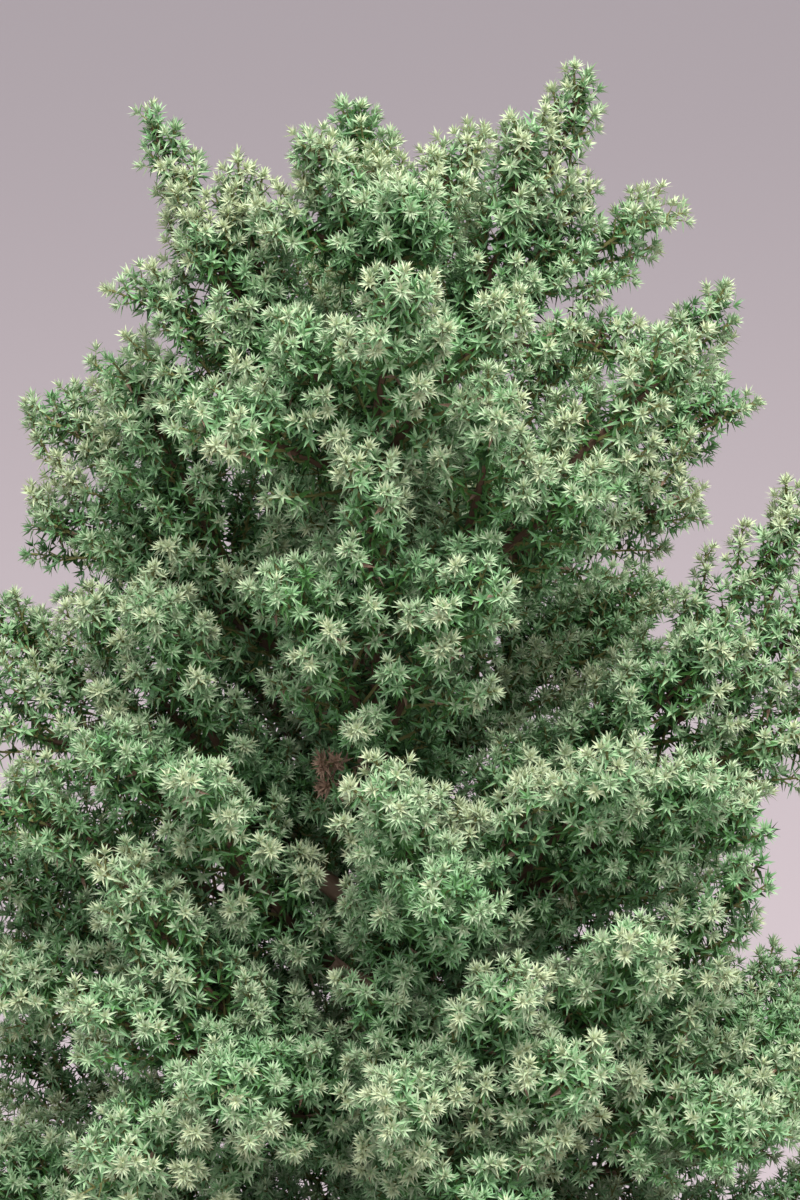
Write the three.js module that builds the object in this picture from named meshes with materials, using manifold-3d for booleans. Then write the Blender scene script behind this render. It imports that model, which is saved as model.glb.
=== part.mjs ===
// Dwarf giant sequoia in a plain clay pot: a dense small conifer. Millimetres, +Z up, origin at the
// centre of the pot's flat underside, +X to the viewer's right and +Y away from the viewer.
import * as THREE from 'three';
import Module from 'manifold-3d';
import { mergeVertices } from 'three/addons/utils/BufferGeometryUtils.js';

const wasm = await Module();
wasm.setup();

// Clearance between pieces that touch on the real plant
const GAP = 0.3;

// The pot: a thrown clay pot with a collar at the rim and drain holes round its middle
const POT = {
  height: 225,
  rimRadius: 125,
  footRadius: 83,
  wall: 8,
  rimWall: 10,
  floor: 10,
  collarHeight: 38,
  collarStep: 6,
  collarLean: 3,
  footStep: 1,
  edge: 2,
  drains: 3,
  drainRadius: 6,
  drainRing: 50,
  drainSides: 16,
  sides: 36,
};

// The potting mix, a little below the rim and slightly raised round the trunk
const SOIL = { belowRim: 18, crown: 2.5, levelRadius: 45 };

// The trunk: flared foot on the mix, straight taper to a slim tip inside the crown
const TRUNK = {
  tip: 644,
  footRadius: 15,
  tipRadius: 3,
  flare: 10,
  flareHeight: 16,
  lobes: 5,
  lobeDepth: 0.14,
  lean: -6,
  sway: 5,
  sideSway: 4,
  swayTurns: 1.1,
  sideSwayTurns: 0.8,
  taper: 0.85,
  lobeFade: 1.4,
  crowding: 1.7,
  sides: 15,
  rings: 10,
};

// Boughs: radius where they leave the trunk and where their mass begins, and how far out and up they bend
const BOUGH = { footRadius: 5.2, endRadius: 3.0, bendOut: 0.55, bendUp: 0.35, sides: 5, rings: 3 };

// Share of the way to the mean tip, outward and upward, at which a bough ends in its mass
const FORK_OUT = 0.24;
const FORK_UP = 0.2;

// The limbs. Each row: name, height of its foot on the trunk, then its leaders,
// each as azimuth in degrees from +X, reach from the middle, height of the tip, half width
const LIMBS = [
  ['crown_top', 645, [[111, 43, 698, 19], [204, 30, 698, 23], [22, 26, 694, 24], [274, 27, 682, 26],
    [192, 42, 674, 28]]],
  ['crown_left', 585, [[167, 82, 700, 19], [174, 52, 685, 24], [180, 82, 649, 32], [184, 63, 668, 26],
    [187, 74, 622, 30]]],
  ['crown_right', 604, [[28, 67, 711, 20], [29, 99, 664, 30], [21, 43, 699, 24], [6, 81, 626, 28],
    [27, 66, 674, 26]]],
  ['crown_front', 560, [[271, 78, 668, 30], [238, 62, 650, 28], [226, 86, 622, 38], [302, 62, 655, 30]]],
  ['crown_back', 575, [[74, 88, 664, 34], [122, 94, 648, 36], [98, 100, 636, 40]]],
  ['upper_right_front', 518, [[345, 94, 636, 30], [316, 84, 602, 32], [290, 78, 634, 28]]],
  ['upper_right', 530, [[30, 127, 631, 26], [22, 117, 597, 40], [6, 90, 574, 40]]],
  ['upper_left', 490, [[151, 137, 590, 33], [149, 117, 606, 26], [158, 130, 553, 49],
    [176, 88, 622, 38]]],
  ['upper_front', 460, [[243, 76, 572, 34], [287, 84, 575, 34], [262, 72, 612, 28]]],
  ['upper_back', 502, [[60, 120, 600, 42], [96, 122, 594, 46], [78, 132, 566, 46], [118, 128, 570, 42]]],
  ['mid_left', 426, [[164, 152, 524, 36], [182, 100, 540, 34], [203, 86, 556, 32], [177, 156, 500, 42]]],
  ['mid_right', 420, [[12, 150, 576, 28], [0, 150, 545, 32], [349, 108, 539, 28], [356, 150, 502, 40]]],
  ['mid_front_right', 400, [[304, 118, 527, 28], [318, 128, 516, 30], [328, 131, 495, 34],
    [311, 53, 495, 45]]],
  ['mid_front', 384, [[268, 104, 520, 34], [277, 118, 490, 34], [300, 88, 505, 32]]],
  ['mid_left_front', 394, [[232, 104, 515, 28], [207, 104, 510, 36], [190, 138, 480, 40]]],
  ['mid_back_right', 454, [[50, 142, 504, 45], [76, 146, 528, 50], [60, 152, 486, 50]]],
  ['mid_back_left', 440, [[104, 146, 528, 50], [134, 148, 520, 48], [119, 152, 484, 50]]],
  ['low_left_front', 340, [[222, 128, 436, 42], [246, 130, 426, 38], [218, 112, 474, 34],
    [232, 146, 396, 48]]],
  ['low_front', 325, [[270, 132, 430, 36], [294, 140, 438, 36], [286, 122, 460, 34], [281, 148, 390, 44],
    [264, 86, 442, 34]]],
  ['low_front_right', 338, [[316, 154, 402, 43], [302, 134, 474, 32], [325, 134, 480, 34],
    [332, 150, 396, 44]]],
  ['low_right', 350, [[4, 158, 398, 46], [342, 150, 402, 42], [352, 158, 366, 50]]],
  ['low_back_right', 364, [[34, 154, 446, 50], [64, 156, 434, 50], [48, 160, 392, 52]]],
  ['low_back', 352, [[92, 156, 434, 50], [122, 156, 432, 50], [108, 160, 390, 52], [80, 108, 464, 42]]],
  ['low_left', 364, [[150, 155, 432, 48], [177, 156, 448, 44], [196, 138, 418, 40], [166, 158, 384, 48]]],
];

// The lowest ring of limbs hides the trunk's foot: evenly spaced, three leaders each
const SKIRT = { count: 5, first: 15, foot: 264, reach: 152, top: 345, lowReach: 144, lowTop: 300, width: 54 };
for (let i = 0; i < SKIRT.count; i += 1) {
  const step = 360 / SKIRT.count;
  const leader = (share, reach, top) => [SKIRT.first + step * (i + share), reach, top, SKIRT.width];
  LIMBS.push([`skirt_${i + 1}`, SKIRT.foot, [
    leader(0, SKIRT.reach, SKIRT.top),
    leader(0.5, SKIRT.reach, SKIRT.top),
    leader(0.25, SKIRT.lowReach, SKIRT.lowTop),
  ]]);
}

// A mass's space round each leader: its half width at the foot, where it is full, and how it slims to the tip
const SPACE = { footWidth: 0.75, fullAt: 0.25, slimming: 0.6, slimPower: 2.2 };

// Masses: the stem that meets the bough, a core that holds the inner share of the mass's space,
// a twig up each leader and the sprays that stand out
const STEM = { radius: 2.6, length: 6, sunk: 2 };
const LEADER = { radius: 2.2, tipRadius: 1.4, ahead: 0.3, straight: 0.2, end: 0.75, sides: 3 };
const CORE = { hollow: 0.72, crest: 0.92, widest: 75, first: 0.06, last: 0.92, end: 0.9, rings: 5, sides: 8 };
const SPRAY = {
  perLeader: 1,
  twig: 1.5,
  sunk: 3,
  sides: 3,
  width: 15,
  apart: 1.3,
  lowest: 0.3,
  spread: 0.35,
  endAt: 0.7,
  past: 8,
  lean: 66,
  leanDrop: 40,
  leanDraw: 14,
  leastSine: 0.62,
  reach: 0.96,
  slim: 0.42,
  endSlim: 0.5,
  swell: { at: 0.42, width: 0.5 },
  neck: { at: 0.74, width: 0.44 },
  toothAt: 0.76,
};

// A spray that doesn't fit is turned on and shortened this often and by these shares
const TRIES = { count: 16, turn: 0.35, shrink: 0.07, shrinks: 4 };

// A core's points are drawn in towards its middle line by these shares
const DRAW_IN = { step: 0.04, least: 0.08, otherwise: 0.05 };

// Seeds of the sprays' draws
const SEEDS = { mass: 400, leader: 100 };
const GOLDEN_ANGLE = 137.507764;
const OWN_SPACE = 1.0;
const SPACE_MARGIN = 0.09;
const LIMB_MARGIN = 1.2;
const SPACE_SAMPLES = 13;

const BARK = new THREE.MeshStandardMaterial({ color: 0x7a5a44, roughness: 0.95, metalness: 0 });
const NEEDLES = new THREE.MeshStandardMaterial({ color: 0x6b8560, roughness: 0.75, metalness: 0 });
const CLAY = new THREE.MeshStandardMaterial({ color: 0xb5694a, roughness: 0.9, metalness: 0 });
const MIX = new THREE.MeshStandardMaterial({ color: 0x3a2c22, roughness: 1, metalness: 0 });

const ground = POT.height - SOIL.belowRim + GAP;
const rad = THREE.MathUtils.degToRad;
const UP = new THREE.Vector3(0, 0, 1);
const RIGHT = new THREE.Vector3(1, 0, 0);

// A repeatable draw between 0 and 1 for piece k and purpose c
function draw(k, c) {
  const x = Math.sin(k * 12.9898 + c * 78.233 + 1.7) * 43758.5453;
  return x - Math.floor(x);
}

// Two directions square to d and to each other
function across(d) {
  const a = new THREE.Vector3().crossVectors(Math.abs(d.z) < 0.9 ? UP : RIGHT, d).normalize();
  return [a, new THREE.Vector3().crossVectors(d, a)];
}

// The middle line of the trunk: a slight lean to the left with one slow sway
function trunkAxis(z) {
  const t = (z - ground) / (TRUNK.tip - ground);
  const x = TRUNK.lean * t + TRUNK.sway * Math.sin(2 * Math.PI * TRUNK.swayTurns * t);
  const y = TRUNK.sideSway * Math.sin(2 * Math.PI * TRUNK.sideSwayTurns * t);
  return new THREE.Vector3(x, y, z);
}

// The trunk's radius without its root lobes
function trunkRadius(z) {
  const t = (z - ground) / (TRUNK.tip - ground);
  const taper = TRUNK.footRadius + (TRUNK.tipRadius - TRUNK.footRadius) * t ** TRUNK.taper;
  return taper + TRUNK.flare * Math.exp(-(z - ground) / TRUNK.flareHeight);
}

// Half width of a leader's space at share t of its length: slim at the foot, full, then a slim tip
function widthAt(t, width) {
  const opened = SPACE.footWidth + (1 - SPACE.footWidth) * THREE.MathUtils.smoothstep(t, 0, SPACE.fullAt);
  return width * opened * (1 - SPACE.slimming * t ** SPACE.slimPower);
}

// A closed tube through rings of points, with a flat cap at its foot and a cap or point at its end
function loft(rings, apex = null) {
  const sides = rings[0].length;
  const points = rings.flat();
  const faces = [];
  for (let r = 0; r + 1 < rings.length; r += 1) {
    for (let s = 0; s < sides; s += 1) {
      const a = r * sides + s;
      const b = r * sides + (s + 1) % sides;
      faces.push([a, b, b + sides], [a, b + sides, a + sides]);
    }
  }
  const last = (rings.length - 1) * sides;
  for (let s = 1; s + 1 < sides; s += 1) {
    faces.push([0, s + 1, s]);
    if (apex === null) faces.push([last, last + s, last + s + 1]);
  }
  if (apex !== null) {
    points.push(apex);
    for (let s = 0; s < sides; s += 1) faces.push([last + s, last + (s + 1) % sides, points.length - 1]);
  }
  return { points, faces };
}

// Raises a tooth on a face: the face is replaced by three that meet at the tooth's tip
function tooth(shape, index, tip) {
  const [a, b, c] = shape.faces[index];
  shape.points.push(tip);
  const t = shape.points.length - 1;
  shape.faces[index] = [a, b, t];
  shape.faces.push([b, c, t], [c, a, t]);
}

// One ring of points round a centre, square to a direction
function ring(centre, direction, sides, radiusAt, turn = 0) {
  const [a, b] = across(direction);
  return Array.from({ length: sides }, (_, s) => {
    const angle = turn + (2 * Math.PI * s) / sides;
    return centre.clone()
      .addScaledVector(a, radiusAt(angle) * Math.cos(angle))
      .addScaledVector(b, radiusAt(angle) * Math.sin(angle));
  });
}

function solid({ points, faces }) {
  const vertProperties = new Float32Array(points.flatMap((p) => [p.x, p.y, p.z]));
  const triVerts = new Uint32Array(faces.flat());
  return new wasm.Manifold(new wasm.Mesh({ numProp: 3, vertProperties, triVerts }));
}

// A closed three.js geometry as a solid
function solidOf(geometry) {
  const bare = geometry.clone();
  bare.deleteAttribute('normal');
  bare.deleteAttribute('uv');
  const merged = mergeVertices(bare, 1e-4);
  const vertProperties = new Float32Array(merged.attributes.position.array);
  const triVerts = new Uint32Array(merged.index.array);
  return new wasm.Manifold(new wasm.Mesh({ numProp: 3, vertProperties, triVerts }));
}

function meshOf(body, name, material) {
  const { vertProperties, triVerts, numProp } = body.getMesh();
  if (numProp !== 3) throw new Error(`${name}: unexpected vertex data`);
  const geometry = new THREE.BufferGeometry();
  geometry.setAttribute('position', new THREE.BufferAttribute(new Float32Array(vertProperties), 3));
  geometry.setIndex(new THREE.BufferAttribute(new Uint32Array(triVerts), 1));
  geometry.computeVertexNormals();
  const mesh = new THREE.Mesh(geometry, material);
  mesh.name = name;
  return mesh;
}

// A cut can leave a loose scrap: the largest body is the piece
function largest(body) {
  const bodies = body.decompose();
  return bodies.reduce((best, one) => (one.volume() > best.volume() ? one : best));
}

// Pot
function innerRadius(z) {
  const top = POT.rimRadius - POT.rimWall;
  const bottom = POT.footRadius - POT.wall + POT.footStep;
  return bottom + ((top - bottom) * (z - POT.floor)) / (POT.height - POT.floor);
}

function makePot() {
  const { height, rimRadius, footRadius, floor, collarHeight, collarStep, collarLean, edge } = POT;
  const collarFoot = height - collarHeight;
  const profile = [
    [0, 0],
    [footRadius - edge, 0],
    [footRadius, edge],
    [rimRadius - collarStep - collarLean, collarFoot],
    [rimRadius - collarLean - edge / 2, collarFoot],
    [rimRadius - collarLean + edge / 2, collarFoot + edge],
    [rimRadius, height - edge],
    [rimRadius - edge, height],
    [innerRadius(height) + edge, height],
    [innerRadius(height - edge), height - edge],
    [innerRadius(floor), floor],
    [0, floor],
  ].map(([r, z]) => new THREE.Vector2(r, z));
  const lathe = new THREE.LatheGeometry(profile, POT.sides).rotateX(Math.PI / 2);
  let body = solidOf(lathe);
  for (let i = 0; i < POT.drains; i += 1) {
    const angle = (2 * Math.PI * i) / POT.drains + Math.PI / 2;
    const drill = new THREE.CylinderGeometry(POT.drainRadius, POT.drainRadius, 3 * floor, POT.drainSides);
    drill.rotateX(Math.PI / 2);
    drill.translate(POT.drainRing * Math.cos(angle), POT.drainRing * Math.sin(angle), floor / 2);
    body = body.subtract(solidOf(drill));
  }
  return body;
}

// Potting mix: fills the pot up to its level
function makeSoil() {
  const level = POT.height - SOIL.belowRim;
  const foot = POT.floor + GAP;
  const edgeLevel = level - SOIL.crown;
  const profile = [
    [0, foot],
    [innerRadius(foot) - GAP, foot],
    [innerRadius(edgeLevel) - GAP, edgeLevel],
    [SOIL.levelRadius, level],
    [0, level],
  ].map(([r, z]) => new THREE.Vector2(r, z));
  return solidOf(new THREE.LatheGeometry(profile, POT.sides / 2).rotateX(Math.PI / 2));
}

// Trunk: rings from the flat cut on the mix to the tip, closer together in the flare
function makeTrunk(grow) {
  const rings = [];
  for (let r = 0; r < TRUNK.rings; r += 1) {
    const t = (r / (TRUNK.rings - 1)) ** TRUNK.crowding;
    const z = ground + (TRUNK.tip - ground) * t;
    const lobes = TRUNK.lobeDepth * Math.exp(-(z - ground) / (TRUNK.lobeFade * TRUNK.flareHeight));
    const radiusAt = (angle) => trunkRadius(z) * (1 + lobes * Math.cos(TRUNK.lobes * angle)) + grow;
    rings.push(ring(trunkAxis(z), UP, TRUNK.sides, radiusAt));
  }
  return solid(loft(rings));
}

// Where each limb runs: its bough from the trunk to the fork, then one curve for each leader
function layOut([name, foot, leaders], index) {
  const start = trunkAxis(foot);
  const tips = leaders.map(([azimuth, reach, top]) => (
    new THREE.Vector3(reach * Math.cos(rad(azimuth)), reach * Math.sin(rad(azimuth)), top)
  ));
  const middle = tips.reduce((sum, tip) => sum.add(tip), new THREE.Vector3()).divideScalar(tips.length);
  const onTip = foot > TRUNK.tip;
  const fork = onTip ? trunkAxis(TRUNK.tip) : new THREE.Vector3(
    start.x + FORK_OUT * (middle.x - start.x),
    start.y + FORK_OUT * (middle.y - start.y),
    foot + FORK_UP * (middle.z - foot),
  );
  const bend = new THREE.Vector3(
    start.x + BOUGH.bendOut * (fork.x - start.x),
    start.y + BOUGH.bendOut * (fork.y - start.y),
    foot + BOUGH.bendUp * (fork.z - foot),
  );
  const bough = onTip ? null : new THREE.QuadraticBezierCurve3(start, bend, fork);
  const heading = onTip ? UP.clone() : fork.clone().sub(bend).normalize();
  const stemEnd = fork.clone().addScaledVector(heading, STEM.length);
  const curves = tips.map((tip, i) => {
    const span = tip.clone().sub(stemEnd);
    const ahead = LEADER.ahead * span.length();
    const elbow = stemEnd.clone().addScaledVector(heading, ahead).addScaledVector(span, LEADER.straight);
    return { curve: new THREE.QuadraticBezierCurve3(stemEnd, elbow, tip), width: leaders[i][3] };
  });
  return { name, index, bough, fork, heading, stemEnd, curves };
}

const limbs = LIMBS.map(layOut);

// Every mass's space: balls along its leaders. A place belongs to the mass whose balls reach it best
const spaces = limbs.map(({ curves }) => curves.flatMap(({ curve, width }) => (
  Array.from({ length: SPACE_SAMPLES }, (_, i) => {
    const t = i / (SPACE_SAMPLES - 1);
    return { centre: curve.getPoint(t), radius: widthAt(t, width) };
  })
)));

function reachOf(point, mass) {
  return Math.min(...spaces[mass].map(({ centre, radius }) => centre.distanceTo(point) / radius));
}

const boughPoints = limbs.map(({ bough }) => (bough === null ? [] : bough.getPoints(10)));

// Distance from a place to the nearest limb's surface
function limbClearance(point) {
  const z = THREE.MathUtils.clamp(point.z, ground, TRUNK.tip);
  let least = trunkAxis(z).distanceTo(point) - trunkRadius(z);
  boughPoints.flat().forEach((p) => {
    least = Math.min(least, p.distanceTo(point) - BOUGH.footRadius);
  });
  return least;
}

// True where a place lies in the mass's own space and clear of every limb
function fits(point, mass, widest = OWN_SPACE) {
  const own = reachOf(point, mass);
  if (own > widest || limbClearance(point) < LIMB_MARGIN) return false;
  return limbs.every((_, other) => other === mass || reachOf(point, other) > own + SPACE_MARGIN);
}

// Draws a point in towards its root until it lies within the given share of the mass's space
function drawIn(point, root, mass, widest) {
  for (let share = 1; share > DRAW_IN.least; share -= DRAW_IN.step) {
    const p = root.clone().lerp(point, share);
    if (fits(p, mass, widest)) return p;
  }
  return root.clone().lerp(point, DRAW_IN.otherwise);
}

// Bough: one tapering limb, cut clear of the trunk
function makeBough({ bough }, trunk) {
  const rings = [];
  for (let r = 0; r < BOUGH.rings; r += 1) {
    const t = r / (BOUGH.rings - 1);
    const radius = BOUGH.footRadius + (BOUGH.endRadius - BOUGH.footRadius) * t;
    rings.push(ring(bough.getPoint(t), bough.getTangent(t), BOUGH.sides, () => radius));
  }
  return largest(solid(loft(rings)).subtract(trunk));
}

// Core: flat rings along the mass's middle line, each point drawn in to the mass's space.
// Crests and hollows take turns, so that the core is ruffled like the shoots that cover it
function makeCore({ index, stemEnd, curves }) {
  const tips = curves.map(({ curve }) => curve.getPoint(CORE.end));
  const end = tips.reduce((sum, tip) => sum.add(tip), new THREE.Vector3()).divideScalar(tips.length);
  const along = end.clone().sub(stemEnd).normalize();
  const rings = [];
  for (let r = 0; r < CORE.rings; r += 1) {
    const share = CORE.first + ((CORE.last - CORE.first) * r) / (CORE.rings - 1);
    const centre = stemEnd.clone().lerp(end, share);
    const points = ring(centre, along, CORE.sides, () => CORE.widest);
    rings.push(points.map((p, s) => drawIn(p, centre, index, (r + s) % 2 === 0 ? CORE.crest : CORE.hollow)));
  }
  return solid(loft(rings, end));
}

// The twig up a leader, from the stem to the spray that ends it
function makeLeader({ curve }) {
  const radii = [LEADER.radius, (LEADER.radius + LEADER.tipRadius) / 2, LEADER.tipRadius];
  const rings = radii.map((radius, r) => {
    const t = (LEADER.end * r) / (radii.length - 1);
    return ring(curve.getPoint(t), curve.getTangent(t), LEADER.sides, () => radius);
  });
  return solid(loft(rings));
}

// Spray: a twig that swells to a slim body with teeth, as long and wide as its space allows
function makeSpray(base, direction, length, halfWidth, turn, mass) {
  const at = (share) => base.clone().addScaledVector(direction, share * length);
  const foot = base.clone().addScaledVector(direction, -SPRAY.sunk);
  const sides = SPRAY.sides;
  const rings = [
    ring(foot, direction, sides, () => SPRAY.twig, turn),
    ring(at(SPRAY.swell.at), direction, sides, () => SPRAY.swell.width * halfWidth, turn),
    ring(at(SPRAY.neck.at), direction, sides, () => SPRAY.neck.width * halfWidth, turn),
  ];
  const tip = at(1);
  if (![tip, ...rings[1], ...rings[2]].every((p) => fits(p, mass))) return null;
  const shape = loft(rings, tip);
  const [a, b] = across(direction);
  for (let s = 0; s < sides; s += 1) {
    const angle = turn + (2 * Math.PI * (s + 0.5)) / sides;
    const out = a.clone().multiplyScalar(Math.cos(angle)).addScaledVector(b, Math.sin(angle));
    const needle = at(SPRAY.toothAt).addScaledVector(out, halfWidth);
    if (fits(needle, mass)) tooth(shape, 2 * (sides + s), needle);
  }
  return solid(shape);
}

// The sprays of one leader: spaced up its length at the golden angle, and one that ends it.
// A spray that leaves its mass's space or crowds another is turned on and shortened, or left out
function makeSprays({ curve, width }, first, mass, placed) {
  const sprays = [];
  for (let i = 0; i <= SPRAY.perLeader; i += 1) {
    const k = first + i;
    const ends = i === SPRAY.perLeader;
    const t = ends ? SPRAY.endAt : SPRAY.lowest + SPRAY.spread * draw(k, 2);
    const base = curve.getPoint(t);
    const tangent = curve.getTangent(t);
    const lift = rad(SPRAY.lean - SPRAY.leanDrop * t + SPRAY.leanDraw * (draw(k, 1) - 0.5));
    const onward = curve.getPoint(1).sub(base);
    const sideways = widthAt(t, width) / Math.max(Math.sin(lift), SPRAY.leastSine);
    const full = ends ? onward.length() + SPRAY.past : sideways;
    const halfWidth = Math.min(SPRAY.width, (ends ? SPRAY.endSlim : SPRAY.slim) * full);
    const [a, b] = across(tangent);
    for (let attempt = 0; attempt < TRIES.count; attempt += 1) {
      const turn = rad(GOLDEN_ANGLE * (k + attempt * TRIES.turn));
      const side = a.clone().multiplyScalar(Math.cos(turn)).addScaledVector(b, Math.sin(turn));
      const direction = ends ? onward.clone().normalize()
        : tangent.clone().multiplyScalar(Math.cos(lift)).addScaledVector(side, Math.sin(lift));
      const shrink = 1 - TRIES.shrink * (attempt % TRIES.shrinks);
      const middle = base.clone().addScaledVector(direction, SPRAY.neck.at * full * shrink);
      const crowded = placed.some((p) => p.distanceTo(middle) < SPRAY.apart * halfWidth);
      if (crowded && !ends) continue;
      const length = SPRAY.reach * full * shrink;
      const spray = makeSpray(base, direction, length, halfWidth * shrink, turn, mass);
      if (spray !== null) {
        sprays.push(spray);
        placed.push(middle);
        break;
      }
    }
  }
  return sprays;
}

// A mass of foliage: its stem, its core, a twig up each leader and the sprays that stand out
function makeMass({ index, fork, heading, stemEnd, curves }, obstacles) {
  const stemFoot = fork.clone().addScaledVector(heading, GAP);
  const stem = [stemFoot, stemEnd.clone().addScaledVector(heading, STEM.sunk)];
  let body = solid(loft(stem.map((p) => ring(p, heading, CORE.sides, () => STEM.radius))));
  body = body.add(makeCore({ index, stemEnd, curves }));
  const placed = [];
  curves.forEach((leader, l) => {
    body = body.add(makeLeader(leader));
    makeSprays(leader, index * SEEDS.mass + l * SEEDS.leader, index, placed).forEach((spray) => {
      body = body.add(spray);
    });
  });
  obstacles.forEach((obstacle) => {
    body = body.subtract(obstacle);
  });
  return largest(body);
}

const plant = new THREE.Group();
const grownTrunk = makeTrunk(GAP);
plant.add(meshOf(makePot(), 'pot', CLAY));
plant.add(meshOf(makeSoil(), 'potting_mix', MIX));
plant.add(meshOf(makeTrunk(0), 'trunk', BARK));
limbs.forEach((limb) => {
  if (limb.bough !== null) plant.add(meshOf(makeBough(limb, grownTrunk), `bough_${limb.name}`, BARK));
});
limbs.forEach((limb) => {
  plant.add(meshOf(makeMass(limb, [grownTrunk]), `foliage_${limb.name}`, NEEDLES));
});

export default plant;
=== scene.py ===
"""Potted dwarf giant sequoia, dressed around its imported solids. Metres, +Z up, +X to the viewer's right.

The limbs grow by the same rule as the solids do, and are carried on to twigs, shoots and needles that stay
in each mass's own space. Sprigs on the boughs and the trunk fill the room between the masses. Bark, pot and
potting mix are finer surfaces in place of the solids.
"""
import functools
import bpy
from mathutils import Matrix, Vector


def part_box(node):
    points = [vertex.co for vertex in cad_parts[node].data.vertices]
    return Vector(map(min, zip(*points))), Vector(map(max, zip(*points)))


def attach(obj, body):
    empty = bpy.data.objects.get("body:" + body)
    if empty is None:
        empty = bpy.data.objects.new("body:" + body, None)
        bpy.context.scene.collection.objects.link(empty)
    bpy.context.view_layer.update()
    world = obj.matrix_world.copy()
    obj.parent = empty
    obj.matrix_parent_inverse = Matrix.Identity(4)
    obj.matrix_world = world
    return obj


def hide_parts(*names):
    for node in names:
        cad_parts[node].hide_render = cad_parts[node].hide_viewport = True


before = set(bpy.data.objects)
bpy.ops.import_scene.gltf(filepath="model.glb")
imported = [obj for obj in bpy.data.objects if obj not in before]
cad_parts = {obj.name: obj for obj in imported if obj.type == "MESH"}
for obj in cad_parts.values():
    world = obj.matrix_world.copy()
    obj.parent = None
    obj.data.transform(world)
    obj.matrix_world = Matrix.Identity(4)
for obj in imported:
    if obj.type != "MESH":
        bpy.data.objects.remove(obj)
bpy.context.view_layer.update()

from types import SimpleNamespace

import bpy
import numpy as np
from bpy.props import FloatProperty, FloatVectorProperty, IntProperty, PointerProperty
from bpy.types import Operator, Panel, PropertyGroup
from mathutils import Vector

bl_info = {
    "name": "Potted Dwarf Sequoia",
    "version": (1, 0, 0),
    "blender": (4, 5, 0),
    "location": "View3D > Sidebar > Sequoia",
    "description": "Grows a potted dwarf giant sequoia with bark, twigs and needles around its solids",
    "category": "Add Mesh",
}

BODY = "root"

POT_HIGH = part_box("pot")[1]
MIX_LOW, MIX_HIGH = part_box("potting_mix")
TRUNK_LOW, TRUNK_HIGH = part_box("trunk")
GROUND = TRUNK_LOW.z
TIP = TRUNK_HIGH.z

UP = np.array([0.0, 0.0, 1.0])
GOLDEN_ANGLE = np.radians(137.507764)

# The pot: how far its collar and inner wall lean outwards, the fineness of its mesh, and the wheel's marks:
# ridges that swell and fade up the wall, which is slightly oval
POT = SimpleNamespace(collar_lean=0.003, foot_step=0.001, edge_steps=6, pitch=0.004, sides=144,
                      drains=3, drain_sides=32)
WHEEL = SimpleNamespace(depth=0.00022, ridges=900, swells=130, swell_phase=2, oval=0.0003, oval_phase=1)

# The mix: its rise to the middle, its mesh, and its lumps, each with scale and seed, that lie below the level
# by the sunk share and stay off the edge
MIX = SimpleNamespace(crown=0.0025, rings=70, sides=180, depth=0.004, edge=0.0005,
                      lumps=((420, 3), (90, 5)), weight=0.6, sunk=0.35)

# Bark chips on the mix: where they lie and how they tilt, their length, and the rings along one
CHIP = SimpleNamespace(
    from_edge=0.006, bare_middle=0.04, sunk=0.001, tilt=0.3, least=0.35, gain=0.9,
    rings=np.array([-0.5, -0.18, 0.2, 0.5]), profile=np.array([0.35, 1.0, 0.8, 0.3]),
    radius=0.0007, radius_gain=0.0012, sides=5,
)

# The trunk: its taper, its flared root with lobes that fade out upwards, its lean and its two sways
TRUNK = SimpleNamespace(
    foot_radius=0.015, tip_radius=0.003, taper=0.85,
    flare=0.010, flare_height=0.016, lobes=5, lobe_depth=0.14, lobe_fade=1.4,
    lean=-0.006, sway=0.005, sway_turns=1.1, side_sway=0.004, side_sway_turns=0.8,
)

# Boughs: radius where they leave the trunk and where their mass begins, how far out and up they bend,
# the share of the way to the mean tip at which they end, and the places at which clearance is measured
BOUGH = SimpleNamespace(foot_radius=0.0052, end_radius=0.0030, bend=[0.55, 0.55, 0.35],
                        fork=[0.24, 0.24, 0.2], samples=8)

# The stem that goes on from a bough's end, and how far a leader's elbow lies ahead of it and towards the tip
STEM = SimpleNamespace(radius=0.0027, length=0.006, sunk=0.0015, sides=8)
LEADER = SimpleNamespace(ahead=0.3, straight=0.2)

# A mass's space round each leader: its half width at the foot, where it is full, how it slims to the tip,
# and the number of balls that stand for it
SPACE = SimpleNamespace(foot_width=0.75, full_at=0.25, slimming=0.60, slim_power=2.2, balls=13)

# Bark: how far its relief is sunk in, the squash of its grain along a limb, the trunk's radii between which
# its relief comes in, and the skins' rings, sides and seeds
BARK = SimpleNamespace(
    sunk=0.3, grain=0.16, relief_from=0.001, relief_full=0.012,
    trunk_sides=96, trunk_rings=240, trunk_crowding=1.15, trunk_seed=1,
    bough_sides=24, bough_rings=26, bough_seed=20,
)

# Furrows: sets of ridges, each as number round a limb and weight, and how the ridges drift along it,
# as swing, waves in a metre and what each further set adds to these
FURROW = SimpleNamespace(sets=((7, 0.30), (12, 0.27), (19, 0.24), (31, 0.19)), slow=(1.3, 60, 37),
                         fast=(0.8, 150, 41), drift_phase=5, sharpness=0.6)

# Smooth noise: its waves, how much finer and weaker each is than the last, and what brings them to about one.
# A wave's phase is drawn over a little more than a full turn.
RIPPLE = SimpleNamespace(waves=6, finer=1.7, weaker=1.4, scale=3)
PHASE = 6.3

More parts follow.
